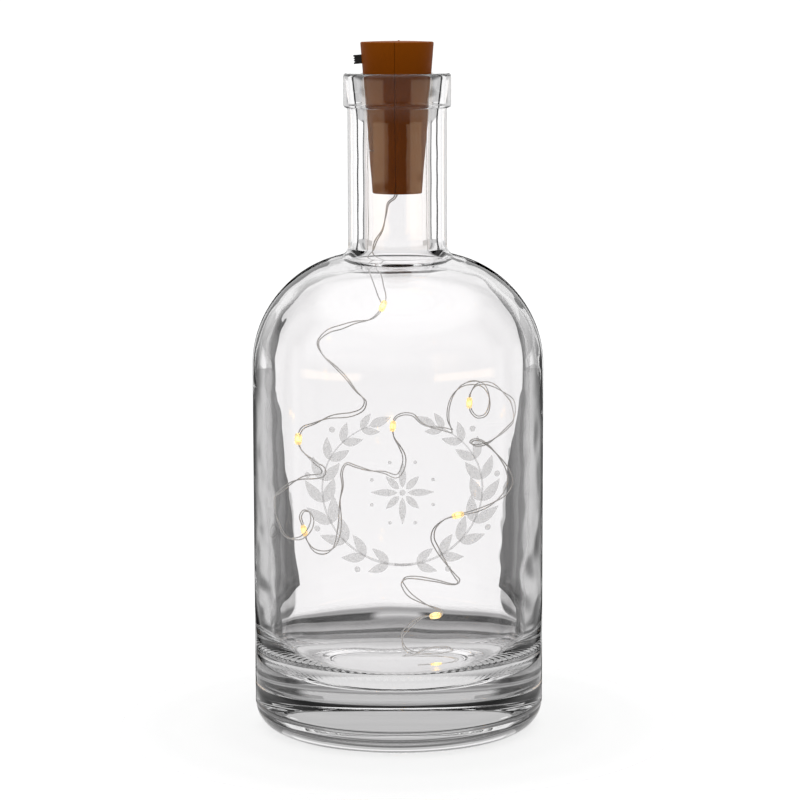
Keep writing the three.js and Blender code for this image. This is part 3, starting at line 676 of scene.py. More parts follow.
def grained(name, base, roughness, metal=0.0, grain=900.0, variation=0.12, relief=0.15, stretch=None):
    """A finish with a fine grain in its colour, roughness and relief."""
    shading = Shading(name)
    grain_factor = shading.noise(grain, 3.0, stretch)
    broad_factor = shading.noise(grain / 12, 2.0)
    tint = shading.blend_colours(broad_factor, scaled(base, 1 - variation), scaled(base, 1 + variation))
    shading.feed(tint, "Base Color")
    rough = shading.spread(grain_factor, roughness * 0.8, roughness * 1.2)
    shading.feed(rough, "Roughness")
    shading.bump(grain_factor, relief, 0.0001)
    shading.set(Metallic=metal)
    return shading.material


def clear_glass():
    """Clear pressed glass with the faint waves of its mould."""
    shading = Shading("clear_glass")
    shading.set(Base_Color=(0.965, 0.958, 0.962, 1), Roughness=0.0, IOR=1.5, Transmission_Weight=1.0)
    shading.bump(shading.noise(70.0, 1.0), 0.02, 0.001)
    return shading.material


def warm_light():
    """The yellow light inside a drop."""
    shading = Shading("warm_light")
    glow = shading.blend_colours(shading.noise(900.0), (1.0, 0.5, 0.08), (1.0, 0.66, 0.2))
    shading.feed(glow, "Base Color", "Emission Color")
    shading.set(Emission_Strength=6.0, Roughness=0.4)
    return shading.material


def drop_resin():
    """Clear cast resin that takes the warm tint of its light, with a painted glow: the resin itself glows
    faintly as painted light from the chip inside.
    """
    shading = Shading("drop_resin")
    tint = shading.blend_colours(shading.noise(600.0), (1.0, 0.78, 0.36), (1.0, 0.9, 0.62))
    shading.feed(tint, "Base Color", "Emission Color")
    # Painted glow: the emission gives the resin the faint warm light of the chip inside it; the tint is both
    # the resin's colour and the colour of that painted glow.
    shading.set(Roughness=0.12, IOR=1.5, Transmission_Weight=0.7, Emission_Strength=0.35)
    return shading.material


def smooth_route(rows, start):
    """Close points on the smooth curve through a route's points, and the index of each row's last point."""
    below = [[value / TENTHS_PER_METRE for value in point] for row in rows for point in row]
    knots = np.array([start, *below], float)
    padded = np.vstack([2 * knots[0] - knots[1], knots, 2 * knots[-1] - knots[-2]])
    line = []
    for p0, p1, p2, p3 in zip(padded, padded[1:], padded[2:], padded[3:]):
        t1 = np.linalg.norm(p1 - p0) ** 0.5
        t2 = t1 + np.linalg.norm(p2 - p1) ** 0.5
        t3 = t2 + np.linalg.norm(p3 - p2) ** 0.5
        for t in np.linspace(t1, t2, ROUTE_STEPS, endpoint=False):
            a1 = (t1 - t) / t1 * p0 + t / t1 * p1
            a2 = (t2 - t) / (t2 - t1) * p1 + (t - t1) / (t2 - t1) * p2
            a3 = (t3 - t) / (t3 - t2) * p2 + (t - t2) / (t3 - t2) * p3
            b1 = (t2 - t) / t2 * a1 + t / t2 * a2
            b2 = (t3 - t) / (t3 - t1) * a2 + (t - t1) / (t3 - t1) * a3
            line.append((t2 - t) / (t2 - t1) * b1 + (t - t1) / (t2 - t1) * b2)
    line.append(knots[-1])
    ends = np.cumsum([len(row) for row in rows]) * ROUTE_STEPS
    return np.array(line), ends


def strand_line(line, ends, sizes, side):
    """The line of one strand of the pair: beside the route, slowly turning round it."""
    tangents = np.gradient(line, axis=0)
    tangents /= np.linalg.norm(tangents, axis=1)[:, None]
    along = np.concatenate([[0], np.cumsum(np.linalg.norm(np.diff(line, axis=0), axis=1))])
    across = np.cross(tangents[0], (0.0, 1.0, 0.0))
    points = []
    for i, point in enumerate(line):
        across = across - np.dot(across, tangents[i]) * tangents[i]
        across /= np.linalg.norm(across)
        turn = 2 * math.pi * along[i] / sizes.twist_pitch
        way = math.cos(turn) * across + math.sin(turn) * np.cross(tangents[i], across)
        to_light = np.abs(along[ends[:-1]] - along[i]).min()
        swing = 2 * math.pi * min(1.0, to_light / sizes.twist_pitch)
        sway = sizes.strand_sway * (0.5 - 0.5 * math.cos(swing))
        points.append(point + side * (sizes.strand_gap + sway) * way)
    return points


def wire_tube(name, points, radius):
    """A round wire along a line of points, as a mesh with closed ends."""
    clear_selection()
    path = bpy.data.curves.new(name, "CURVE")
    path.dimensions = "3D"
    path.bevel_depth = radius
    path.bevel_resolution = 1
    path.use_fill_caps = True
    spline = path.splines.new("POLY")
    spline.points.add(len(points) - 1)
    for knot, point in zip(spline.points, points):
        knot.co = (*point, 1)
    wire = bpy.data.objects.new(name, path)
    bpy.context.scene.collection.objects.link(wire)
    choose(wire)
    bpy.ops.object.convert(target="MESH")
    wire = bpy.context.object
    bpy.ops.object.shade_smooth()
    return wire


def neck_turn(sizes, arc_radius, neck_side, round_radius):
    """Where a small round of the neck meets the shoulder's arc: its centre height and its angle."""
    across = neck_side + round_radius - (sizes.body_radius - sizes.shoulder_radius)
    rise = math.sqrt((arc_radius + round_radius) ** 2 - across ** 2)
    return sizes.spring_height + rise, math.degrees(math.atan2(rise, across))


def mouth_turn(s):
    """The wide round between the mouth's taper and the straight bore."""
    lip_bottom = s.height - s.lip_round
    kink = s.height - s.mouth_depth
    slope = math.atan2(s.mouth_radius - s.bore_radius, lip_bottom - kink)
    low = kink - s.mouth_round * math.tan(slope / 2)
    return arc(s.bore_radius + s.mouth_round, low, s.mouth_round, 180 - math.degrees(slope), 180, 0.6)


def foot_outline(s):
    """The outline of the underside and the heel, from the middle outwards."""
    heel_centre = s.body_radius - s.heel_radius
    return [
        (s.pole, s.push_up),
        (s.under_flat, s.push_up),
        (s.under_flat + s.under_step, s.push_up - s.under_step),
        (heel_centre - s.bearing_width, 0.0),
        *arc(heel_centre - s.heel_step, s.heel_radius, s.heel_radius, -90, 0),
    ]


def side_outline(s):
    """The outline of the outer side, from the heel up to the ring's top."""
    shoulder = s.body_radius - s.shoulder_radius
    fillet_height, fillet_angle = neck_turn(s, s.shoulder_radius, s.neck_radius, s.neck_fillet)
    ring = s.neck_radius + s.ring_projection
    corner = min(s.ring_round, s.ring_projection)
    return [
        (s.body_radius, s.heel_radius + s.heel_step),
        *arc(shoulder, s.spring_height, s.shoulder_radius, 0, fillet_angle, 2.0),
        *arc(s.neck_radius + s.neck_fillet, fillet_height, s.neck_fillet, fillet_angle + 180, 180, 8.0),
        (s.neck_radius, s.height - s.ring_height),
        *arc(ring - corner, s.height - s.ring_height + corner, corner, -90, 0, 12.0),
        *arc(ring - corner, s.height - corner, corner, 0, 90, 12.0),
    ]


def inner_outline(s):
    """The outline of the inside, from the lip down to the middle of the floor."""
    shoulder = s.body_radius - s.shoulder_radius
    inner_arc = s.shoulder_radius - s.body_wall
    inner_height, inner_angle = neck_turn(s, inner_arc, s.bore_radius, s.inner_neck_round)
    heel_inside = s.body_radius - s.foot_wall - s.inner_heel_radius
    return [
        *arc(s.mouth_radius + s.lip_round, s.height - s.lip_round, s.lip_round, 90, 180, 15.0),
        *mouth_turn(s),
        *arc(
            s.bore_radius + s.inner_neck_round, inner_height, s.inner_neck_round,
            180, inner_angle + 180, 8.0,
        ),
        *arc(shoulder, s.spring_height, inner_arc, inner_angle, 0, 2.0),
        *arc(heel_inside, s.floor_height + s.inner_heel_radius, s.inner_heel_radius, 0, -90),
        (s.pole, s.floor_height),
    ]


class BOTTLELIGHT_OT_stage(bpy.types.Operator):
    """Make the floor, the light and the camera"""

    bl_idname = "bottlelight.stage"
    bl_label = "Stage"

    def execute(self, context):
        sizes = context.scene.bottlelight_stage
        self.add_camera(context, sizes)
        self.add_floor(sizes)
        self.add_shade(sizes)
        self.add_cards(sizes)
        self.add_flags(sizes, side_outline(context.scene.bottlelight_bottle))
        self.add_light(context, sizes)
        context.scene.view_settings.view_transform = "Standard"
        context.scene.cycles.max_bounces = 24
        context.scene.cycles.transmission_bounces = 24
        context.scene.cycles.transparent_max_bounces = 16
        return {"FINISHED"}

    def add_camera(self, context, sizes):
        camera = bpy.data.objects.new("camera", bpy.data.cameras.new("camera"))
        context.scene.collection.objects.link(camera)
        camera.data.lens = camera.data.sensor_width * sizes.focal_pixels / sizes.picture_pixels
        camera.data.clip_start = 0.01
        camera.location = (sizes.camera_side, -sizes.camera_distance, sizes.camera_height)
        level = Matrix.Rotation(math.pi / 2 - sizes.camera_pitch, 4, "X")
        camera.rotation_euler = (level @ Matrix.Rotation(sizes.camera_roll, 4, "Z")).to_euler()
        context.scene.camera = camera

    def add_floor(self, sizes):
        clear_selection()
        bpy.ops.mesh.primitive_circle_add(vertices=DISC_SIDES, radius=sizes.floor_radius, fill_type="NGON")
        floor = bpy.context.object
        floor.name = "floor"
        floor.data.materials.append(self.floor_finish(sizes))

    def floor_finish(self, sizes):
        """Pale paper that fades out towards its edge."""
        shading = Shading("floor_paper")
        shading.set(Base_Color=(0.92, 0.92, 0.92, 1), Roughness=0.6)
        distance = shading.reach(shading.place)
        cover = shading.fade(distance, sizes.floor_solid, sizes.floor_radius, sizes.floor_cover, 0)
        shading.feed(cover, "Alpha")
        return shading.material

    def add_shade(self, sizes):
        """The bottle's soft shade on the floor, which only the light through the glass meets."""
        clear_selection()
        lift = sizes.shade_outer / 1000
        bpy.ops.mesh.primitive_circle_add(
            vertices=DISC_SIDES, radius=sizes.shade_outer, fill_type="NGON", location=(0, 0, lift)
        )
        shade = bpy.context.object
        shade.name = "floor_shade"
        place(shade)
        shade.data.materials.append(self.shade_finish(sizes))
        self.hide_card(shade)

    def hide_card(self, card):
        """Leaves a card to the light that comes through the glass or off it."""
        card.visible_camera = False
        card.visible_diffuse = False
        card.visible_shadow = False

    def shade_finish(self, sizes):
        """Soft grey rings of light round a bright spot."""
        shading = Shading("floor_shade")
        shading.only_glow()
        radius = shading.reach(shading.place)
        turn = 2 * math.pi / sizes.shade_pitch
        phase = shading.calculate("MULTIPLY_ADD", radius, turn, -turn * sizes.shade_crest)
        swing = shading.calculate("COSINE", phase)
        rings = shading.calculate("MULTIPLY_ADD", swing, sizes.shade_swing, sizes.shade_light)
        oval = shading.node("ShaderNodeVectorMath", operation="MULTIPLY_ADD")
        shading.link(shading.place, oval.inputs[0])
        oval.inputs[1].default_value = (1 / sizes.spot_wide, 1 / sizes.spot_deep, 0)
        oval.inputs[2].default_value = (0, sizes.spot_ahead / sizes.spot_deep, 0)
        spot = shading.fade(shading.reach(oval.outputs["Vector"]), 0.88, 1.12, sizes.shade_spot, 0)
        light = shading.calculate("MAXIMUM", rings, spot)
        shading.feed(light, "Emission Strength")
        start = sizes.shade_outer - sizes.shade_fade
        cover = shading.fade(radius, start, sizes.shade_outer, sizes.shade_cover, 0)
        shading.feed(cover, "Alpha")
        return shading.material

    def add_cards(self, sizes):
        """Dark cards behind the body and the foot on each side, and two low ones right behind the foot."""
        edges = (("X", 0.45, 1.0, 1, 0), ("Y", 0.66, 1.0, 1, 0))
        finish = self.card_finish("card", ("Y", 0.08, 0.16, sizes.low_light, sizes.card_light), edges)
        edges = (
            ("X", 0.0, 0.07, 0, sizes.wedge_cover),
            ("X", 0.8, 1.0, 1, 0),
            ("Y", 0.0, 0.2, 0, 1),
            ("Y", 0.8, 1.0, 1, 0),
        )
        even = ("Y", 0.0, 1.0, sizes.low_light, sizes.low_light)
        dark = self.card_finish("foot_card", even, edges)
        for side, name in ((-1, "card_left"), (1, "card_right")):
            def bend(across, up, way=side):
                horn = min(max((up - HORN_FROM) / HORN_RISE, 0), 1)
                foot = min(max((FOOT_BELOW - up) / FOOT_RISE, 0), 1)
                inner = CARD_START + CARD_LEAN * up + HORN_TURN * horn + FOOT_TURN * foot
                turn = way * math.radians(inner + CARD_SPAN * across)
                return turn, sizes.card_height * up

            self.curved_card(name, sizes.card_radius, finish, bend)
            self.curved_card(
                name + "_foot", sizes.wedge_radius, dark,
                lambda across, up, way=side: (
                    way * (sizes.wedge_from + (sizes.wedge_to - sizes.wedge_from) * across),
                    sizes.wedge_low + (sizes.wedge_top - sizes.wedge_low) * up,
                ),
            )
        edges = (
            ("Y", 0.32, 0.38, sizes.low_foot / sizes.low_cover, 1),
            ("Y", 0.49, 0.55, sizes.low_cover, sizes.low_thin),
            ("Y", 0.85, 1.0, 1, 0),
        )
        finish = self.card_finish("low_card", even, edges)
        self.low_card("card_low", sizes.low_radius, finish, sizes)
        edges = (("Y", 0.4, 0.46, 0, sizes.heel_cover), ("Y", 0.69, 0.75, 1, 0))
        finish = self.card_finish("heel_card", even, edges)
        self.low_card("card_heel", sizes.heel_radius, finish, sizes)

    def low_card(self, name, radius, finish, sizes):
        """A low card behind the foot, between the same two heights."""
        tall = sizes.low_top - sizes.low_bottom
        self.curved_card(
            name, radius, finish,
            lambda across, up: ((2 * across - 1) * sizes.low_half, sizes.low_bottom + tall * up),
        )

    def curved_card(self, name, radius, finish, bend):
        """A curved card round the axis; bend gives the turn and the height of each place on it."""
        card = flat_grid(24, 24)
        card.name = name
        for vertex in card.data.vertices:
            turn, height = bend(vertex.co.x + 0.5, vertex.co.y + 0.5)
            vertex.co = (radius * math.sin(turn), radius * math.cos(turn), height)
        card.data.materials.append(finish)
        self.hide_card(card)

    def card_finish(self, name, light, edges):
        """A grey that turns clear at its edges; a fade is a UV axis, two places and two values."""
        shading = Shading(name)
        shading.only_glow()
        parts = shading.node("ShaderNodeSeparateXYZ")
        shading.link(shading.node("ShaderNodeTexCoord").outputs["UV"], parts.inputs["Vector"])
        glow = shading.fade(parts.outputs[light[0]], *light[1:])
        shading.feed(glow, "Emission Strength")
        cover = 1.0
        for axis, *places in edges:
            cover = shading.calculate("MULTIPLY", shading.fade(parts.outputs[axis], *places), cover)
        shading.feed(cover, "Alpha")
        return shading.material

    def add_flags(self, sizes, outline):
        """A black flag just behind each edge of the glass, which draws the dark outline of the bottle."""
        shading = Shading("flag")
        shading.set(Base_Color=(0, 0, 0, 1), Specular_IOR_Level=0.0, Roughness=1.0)
        line = even_out(outline, FLAG_STEP)
        last = len(line) - 1
        for side in (-1, 1):
            flag = flat_grid(last, 1)
            flag.name = "flag_left" if side < 0 else "flag_right"
            for vertex in flag.data.vertices:
                i = round((vertex.co.x + 0.5) * last)
                radius, height = line[i]
                way = way_along(line, i)
                lean = abs(way.x) if radius > sizes.flag_lean_from else 0
                inside = sizes.flag_inside * (1 + FLAG_LEAN_INSIDE * lean)
                outside = sizes.flag_outside * (1 + FLAG_LEAN_OUTSIDE * lean)
                reach = radius * (outside if vertex.co.y > 0 else -inside)
                across, up = radius + reach * way.y, height - reach * way.x
                vertex.co = (side * across, sizes.flag_depth * radius, up)
            flag.data.materials.append(shading.material)
            self.hide_card(flag)

    def add_light(self, context, sizes):
        """A room of soft light: a white panel behind, a soft box on each side in front, and one above."""
        world = bpy.data.worlds.new("studio")
        context.scene.world = world
        world.use_nodes = True
        room = Nodes(world.node_tree)
        parts = room.node("ShaderNodeSeparateXYZ")
        room.link(room.node("ShaderNodeTexCoord").outputs["Generated"], parts.inputs["Vector"])
        side, rise = parts.outputs["X"], parts.outputs["Z"]
        bearing = room.calculate("ABSOLUTE", room.calculate("ARCTAN2", side, parts.outputs["Y"]))

        def by_rise(places, first=0.0, last=1.0):
            return room.fade(rise, *places, first, last)

        def by_bearing(places, first=0.0, last=1.0):
            return room.fade(bearing, *map(math.radians, places), first, last)

        def between(places):
            low, high = map(math.radians, places)
            soft = math.radians(BEARING_SOFT)
            rising = room.fade(bearing, low - soft, low + soft)
            return room.product(rising, room.fade(bearing, high - soft, high + soft, 1, 0))

        edge = sizes.panel_soft
        upper_part = room.calculate(
            "ADD", by_rise(PANEL_NARROWS, 1, PANEL_NARROW), by_rise(PANEL_WIDENS, 0, PANEL_WIDER)
        )
        high_up = room.product(by_rise(PANEL_OPENS), upper_part)
        widening = room.product(high_up, sizes.panel_wide - sizes.panel_half)
        body_edge = by_rise(BODY_PANEL, sizes.panel_half, sizes.panel_body)
        past_edge = room.calculate("SUBTRACT", bearing, room.calculate("ADD", widening, body_edge))
        panel = room.product(
            room.fade(past_edge, -edge, edge, 1, 0),
            by_rise(PANEL_DIMS, sizes.panel_light, sizes.upper_light),
        )
        gap = room.product(between(GAP_BEARING), high_up)
        wing = room.product(
            by_bearing(WING_END, sizes.wing_light, sizes.dark_light),
            room.calculate("SUBTRACT", 1, room.product(gap, GAP_DEPTH)),
            by_rise(WING_BRIGHTENS, WING_LOW, 1),
        )
        strips = room.product(between(STRIP_BEARING), room.product(high_up, sizes.strip_light))
        front = room.product(
            by_bearing(FRONT_START),
            by_rise(FRONT_RISE, sizes.room_light, sizes.front_light),
            room.fade(side, *FRONT_SIDES, FRONT_LEFT, FRONT_RIGHT),
        )
        boxes = room.product(
            between(BOX_BEARING), sizes.side_light, by_rise(BOX_START), by_rise(BOX_END, 1, 0)
        )
        beside = room.product(by_bearing(BESIDE_END, 1, 0), by_rise(BESIDE_RISE, 1, 0))
        low_down = room.product(
            room.calculate("MAXIMUM", beside, by_rise(LOW_ROOM_END, 1, 0)),
            by_bearing(LOW_ROOM_START, 0, sizes.low_room),
        )
        above = by_rise(ABOVE_START, 0, sizes.top_light)
        light = room.calculate("ADD", wing, front)
        for source in (panel, strips, boxes, low_down, above):
            light = room.calculate("MAXIMUM", light, source)
        below = by_rise(BELOW_END, 1, 0)
        light = room.calculate(
            "ADD",
            room.product(light, room.calculate("SUBTRACT", 1, below)),
            room.product(below, sizes.floor_light),
        )
        background = room.tree.nodes["Background"]
        room.link(light, background.inputs["Strength"])
        warmth = room.node("ShaderNodeMix", data_type="RGBA")
        warmth.inputs["A"].default_value = (1, 1, 1, 1)
        warmth.inputs["B"].default_value = WARM_TINT
        boxed = room.product(between(BOX_BEARING), by_rise(WARM_END, 1, 0), by_rise(WARM_START))
        room.link(boxed, warmth.inputs["Factor"])
        room.link(warmth.outputs["Result"], background.inputs["Color"])


class BOTTLELIGHT_OT_string(bpy.types.Operator):
    """Make the twin wire and its lights"""

    bl_idname = "bottlelight.string"
    bl_label = "String of lights"

    def execute(self, context):
        sizes = context.scene.bottlelight_string
        start = (0.0, 0.0, STOPPER_LOW.z + EXIT_DEPTH)
        route, ends = smooth_route(ROUTE_ROWS, start)
        split, split_ends = smooth_route((SPLIT_ROW, *ROUTE_ROWS[1:]), start)
        silver = grained("silver_wire", (0.82, 0.8, 0.77), 0.38, metal=0.8, grain=2500.0, relief=0.1)
        lights = self.add_lights(sizes, route, ends)
        strands = (("string_strand_1", route, ends, 1), ("string_strand_2", split, split_ends, -1))
        for name, line, row_ends, side in strands:
            points = strand_line(line, row_ends, sizes, side)
            wire = wire_tube(name, points, sizes.strand_radius)
            nodes = [f"string_wire_{i + 1}" for i in range(len(ROUTE_ROWS))] if side > 0 else []
            finish_piece(wire, silver, None, "silver_wire", *nodes)
            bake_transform(wire)
        return {"FINISHED"}

    def add_lights(self, sizes, route, ends):
        """A resin drop with its light at the end of each row but the last."""
        resin, glow = drop_resin(), warm_light()
        made = []
        for i, end in enumerate(ends[:-1]):
            way = Vector(route[end + 1] - route[end - 1])
            matrix = Matrix.Translation(route[end]) @ way.to_track_quat("Z", "Y").to_matrix().to_4x4()
            drop = self.add_drop(f"light_bead_{i + 1}", sizes)
            place(drop, matrix)
            finish_piece(drop, resin, "bottle", "light_resin", f"light_drop_{i + 1}")
            chip = self.add_chip(f"light_glow_{i + 1}", sizes)
            place(chip, matrix)
            finish_piece(chip, glow, "bottle", "light_chip", f"light_chip_{i + 1}")
            made += [drop, chip]
        return made

    def add_drop(self, name, sizes):
        """A pointed oval of resin, with a small neck at each end where it grips the wire."""
        half, end_radius = sizes.drop_length / 2, 1.6 * sizes.strand_gap + sizes.strand_radius
        profile = []
        for i in range(13):
            turn = math.pi * i / 12
            swell = math.sin(turn) ** 1.3
            profile.append((end_radius + (sizes.drop_radius - end_radius) * swell, -half * math.cos(turn)))
        drop = turn_profile(name, profile, DROP_SIDES)
        smooth(drop)
        return drop

    def add_chip(self, name, sizes):
        """A small light with rounded edges."""
        clear_selection()
        bpy.ops.mesh.primitive_cube_add(size=1)
        chip = bpy.context.object
        chip.name = name
        chip.scale = (sizes.chip_width, sizes.chip_width, sizes.chip_length)
        place(chip)
        apply_modifier(chip, "BEVEL", width=0.2 * sizes.chip_width, segments=3)
        smooth(chip)
        return chip


class BOTTLELIGHT_OT_bottle(bpy.types.Operator):
    """Make the glass bottle"""

    bl_idname = "bottlelight.bottle"
    bl_label = "Bottle"

    def execute(self, context):
        sizes = context.scene.bottlelight_bottle
        outline = foot_outline(sizes) + side_outline(sizes) + inner_outline(sizes)
        bottle = turn_profile("glass_bottle", even_out(outline, BOTTLE_STEP), BOTTLE_SIDES)
        self.cut_knurl(bottle, sizes)
        self.add_waves(bottle, sizes)
        smooth(bottle, 50.0)
        finish_piece(bottle, clear_glass(), "bottle", "glass", "bottle")
        return {"FINISHED"}

    def cut_knurl(self, bottle, s):
        """Lifts every third line of the foot's underside, which leaves a ring of short ridges."""
        outer = s.body_radius - s.heel_radius + s.bearing_width
        pitch = 2 * math.pi / KNURL_RIDGES

        def groove(place_of):
            radius = math.hypot(place_of.x, place_of.y)
            phase = (math.atan2(place_of.y, place_of.x) / pitch) % 1.0
            under = s.knurl_inner < radius < outer and place_of.z < s.push_up
            return under and min(phase, 1 - phase) < KNURL_SHARE

        select_vertices(bottle, groove)
        bpy.ops.transform.translate(value=(0, 0, s.knurl_height))
        bpy.ops.object.mode_set(mode="OBJECT")

    def add_waves(self, bottle, s):
        """Gives the inner surface slow waves, finer in the neck and by the mould's seams."""
        body = bottle.vertex_groups.new(name="inside_body")
        seam = bottle.vertex_groups.new(name="inside_seam")
        neck = bottle.vertex_groups.new(name="inside_neck")
        rim = s.height - s.ring_height / 2
        for vertex in bottle.data.vertices:
            radius = math.hypot(vertex.co.x, vertex.co.y)
            if vertex.co.z < s.floor_height + s.inner_heel_radius or vertex.co.z > rim:
                continue
            if s.spring_height + s.shoulder_radius < vertex.co.z and radius < s.mouth_radius:
                neck.add([vertex.index], 1.0, "REPLACE")
            elif self.is_inside(s, radius, vertex.co.z):
                body.add([vertex.index], 1.0, "REPLACE")
                weight = max(0.0, SEAM_GAIN * abs(vertex.co.x) / radius - SEAM_START)
                seam.add([vertex.index], weight, "REPLACE")
        waves = (
            ("inside_body", s.wave_body, s.wave_body_size),
            ("inside_seam", s.wave_seam, s.wave_seam_size),
            ("inside_neck", s.wave_neck, s.wave_neck_size),
        )
        for group, height, scale in waves:
            pattern = bpy.data.textures.new(group, "CLOUDS")
            pattern.noise_scale = scale
            pattern.noise_depth = 0
            apply_modifier(
                bottle, "DISPLACE", texture=pattern, texture_coords="LOCAL", vertex_group=group,
                strength=height, mid_level=0.5,
            )
        bottle.vertex_groups.clear()

    def is_inside(self, s, radius, height):
        """Whether a point of the glass below the neck is on its inner surface."""
        above_spring = max(0.0, height - s.spring_height)
        from_centre = math.hypot(radius - (s.body_radius - s.shoulder_radius), above_spring)
        return from_centre < s.shoulder_radius - s.body_wall / 2


class BOTTLELIGHT_OT_wreath(bpy.types.Operator):
    """Make the frosted wreath on the glass"""

    bl_idname = "bottlelight.wreath"
    bl_label = "Frosted wreath"

    def execute(self, context):
        sizes = context.scene.bottlelight_wreath
        shapes = [*self.branch(sizes, -1), *self.branch(sizes, 1), *self.star(sizes)]
        clear_selection()
        for shape in shapes:
            shape.select_set(True)
        wreath = shapes[0]
        bpy.context.view_layer.objects.active = wreath
        bpy.ops.object.join()
        wreath.name = "frosted_wreath"
        apply_modifier(
            wreath, "SHRINKWRAP", target=bpy.data.objects["glass_bottle"], wrap_method="PROJECT",
            use_project_y=True, wrap_mode="ABOVE_SURFACE", offset=sizes.thickness / 4,
        )
        apply_modifier(wreath, "SOLIDIFY", thickness=sizes.thickness, offset=1)
        smooth(wreath)
        finish_piece(wreath, self.frosted(), "bottle", "glass")
        return {"FINISHED"}

    def ribbon(self, line, halves):
        """A flat strip in front of the glass along a line of (side, height), as wide as the halves say."""
        last = len(line) - 1
        strip = flat_grid(last, 4)
        front = -1.5 * BOTTLE_HIGH.x
        for vertex in strip.data.vertices:
            i = round((vertex.co.x + 0.5) * last)
            way = way_along(line, i)
            place_of = Vector(line[i]) + 2 * vertex.co.y * halves[i] * Vector((-way.y, way.x))
            vertex.co = (place_of.x, front, place_of.y)
        return strip

    def leaf(self, root, turn, long, half, curl=0.0):
        """A pointed leaf from its root towards an angle, with a slight curl."""
        line, halves = [], []
        x, z = root
        for i in range(LEAF_STEPS + 1):
            share_along = i / LEAF_STEPS
            line.append((x, z))
            halves.append(max(0.00006, half * math.sin(math.pi * share_along ** 0.8) ** 0.9))
            x += long / LEAF_STEPS * math.cos(turn + curl * share_along)
            z += long / LEAF_STEPS * math.sin(turn + curl * share_along)
        return self.ribbon(line, halves)

    def berry(self, x, z, radius):
        """A small round dot."""
        clear_selection()
        way = (math.pi / 2, 0, 0)
        front = -1.5 * BOTTLE_HIGH.x
        bpy.ops.mesh.primitive_circle_add(
            vertices=BERRY_SIDES, radius=radius, fill_type="TRIFAN", location=(x, front, z), rotation=way
        )
        dot = bpy.context.object
        place(dot)
        return dot

    def branch(self, s, side):
        """Half of the wreath: a curved stem from the bottom to near the top, with leaves and berries."""
        start, end = math.radians(-96), math.radians(66)

        def point(along):
            turn = start + (end - start) * along
            across = s.middle_side + side * s.half_width * math.cos(turn)
            return across, s.middle_height + s.half_height * math.sin(turn)

        line = [point(i / STEM_STEPS) for i in range(STEM_STEPS + 1)]
        halves = [s.stem_half * (1.2 - 0.7 * i / STEM_STEPS) for i in range(STEM_STEPS + 1)]
        shapes = [self.ribbon(line, halves)]
        for i in range(s.leaf_pairs):
            along = 0.1 + 0.86 * i / (s.leaf_pairs - 1)
            root, ahead = Vector(point(along)), Vector(point(along + 0.01))
            way = math.atan2(ahead.y - root.y, ahead.x - root.x)
            size = 1.0 - 0.35 * abs(2 * along - 0.9)
            for lean in (0.72, -0.72):
                leaf = self.leaf(root, way + lean, size * s.leaf_length, size * s.leaf_half, -0.45 * lean)
                shapes.append(leaf)
            if i % 2:
                outward = Vector((math.cos(way - side * 1.5), math.sin(way - side * 1.5)))
                spot = root + 0.55 * s.leaf_length * outward
                shapes.append(self.berry(spot.x, spot.y, s.berry_radius))
        tip = Vector(point(1.0))
        way = math.atan2(tip.y - point(0.98)[1], tip.x - point(0.98)[0])
        shapes.append(self.leaf(tip, way, 0.8 * s.leaf_length, 0.8 * s.leaf_half))
        return shapes

    def star(self, s):
        """A star of eight petals with a ring of dots, in the middle of the wreath."""
        shapes = [self.berry(s.middle_side, s.middle_height, s.berry_radius)]
        for i in range(8):
            turn = math.pi * i / 4
            long = s.star_reach * (1.0 if i % 2 == 0 else 0.68)
            inner = 1.7 * s.berry_radius
            root = (s.middle_side + inner * math.cos(turn), s.middle_height + inner * math.sin(turn))
            shapes.append(self.leaf(root, turn, long, 0.62 * s.leaf_half))
            dot_turn = turn + math.pi / 8
            reach = 1.25 * s.star_reach
            x, z = s.middle_side + reach * math.cos(dot_turn), s.middle_height + reach * math.sin(dot_turn)
            shapes.append(self.berry(x, z, 0.6 * s.berry_radius))
        return shapes

    def frosted(self):
        """Blasted glass: a pale grey grain that lets some of the light through."""
        shading = Shading("frosted_glass")
        grain = shading.noise(2600.0, 2.0)
        tint = shading.blend_colours(grain, (0.7, 0.7, 0.71), (0.86, 0.86, 0.87))
        shading.feed(tint, "Base Color")
        shading.feed(shading.spread(grain, 0.1, 0.42), "Alpha")
        shading.bump(grain, 0.2, 0.0001)
        shading.set(Roughness=0.7, Specular_IOR_Level=0.3)
        return shading.material


def stopper_frame(sizes):
    """The stopper's own frame: its origin in the middle of the underside, turned in the mouth."""
    return Matrix.Translation((0, 0, STOPPER_LOW.z)) @ Matrix.Rotation(sizes.turn, 4, "Z")


def stopper_radius(sizes, height):
    """Radius of the stopper's side at a height above its underside."""
    length_up = STOPPER_HIGH.z - STOPPER_LOW.z
    return STOPPER_HIGH.x - math.tan(sizes.taper) * (length_up - height)


def switch_frame(stopper, switch):
    """The switch's frame inside the stopper's: its origin on the wall, X inwards and Z up along the wall."""
    place_of = Matrix.Translation((-stopper_radius(stopper, switch.middle), 0, switch.middle))
    return place_of @ Matrix.Rotation(-stopper.taper, 4, "Y")


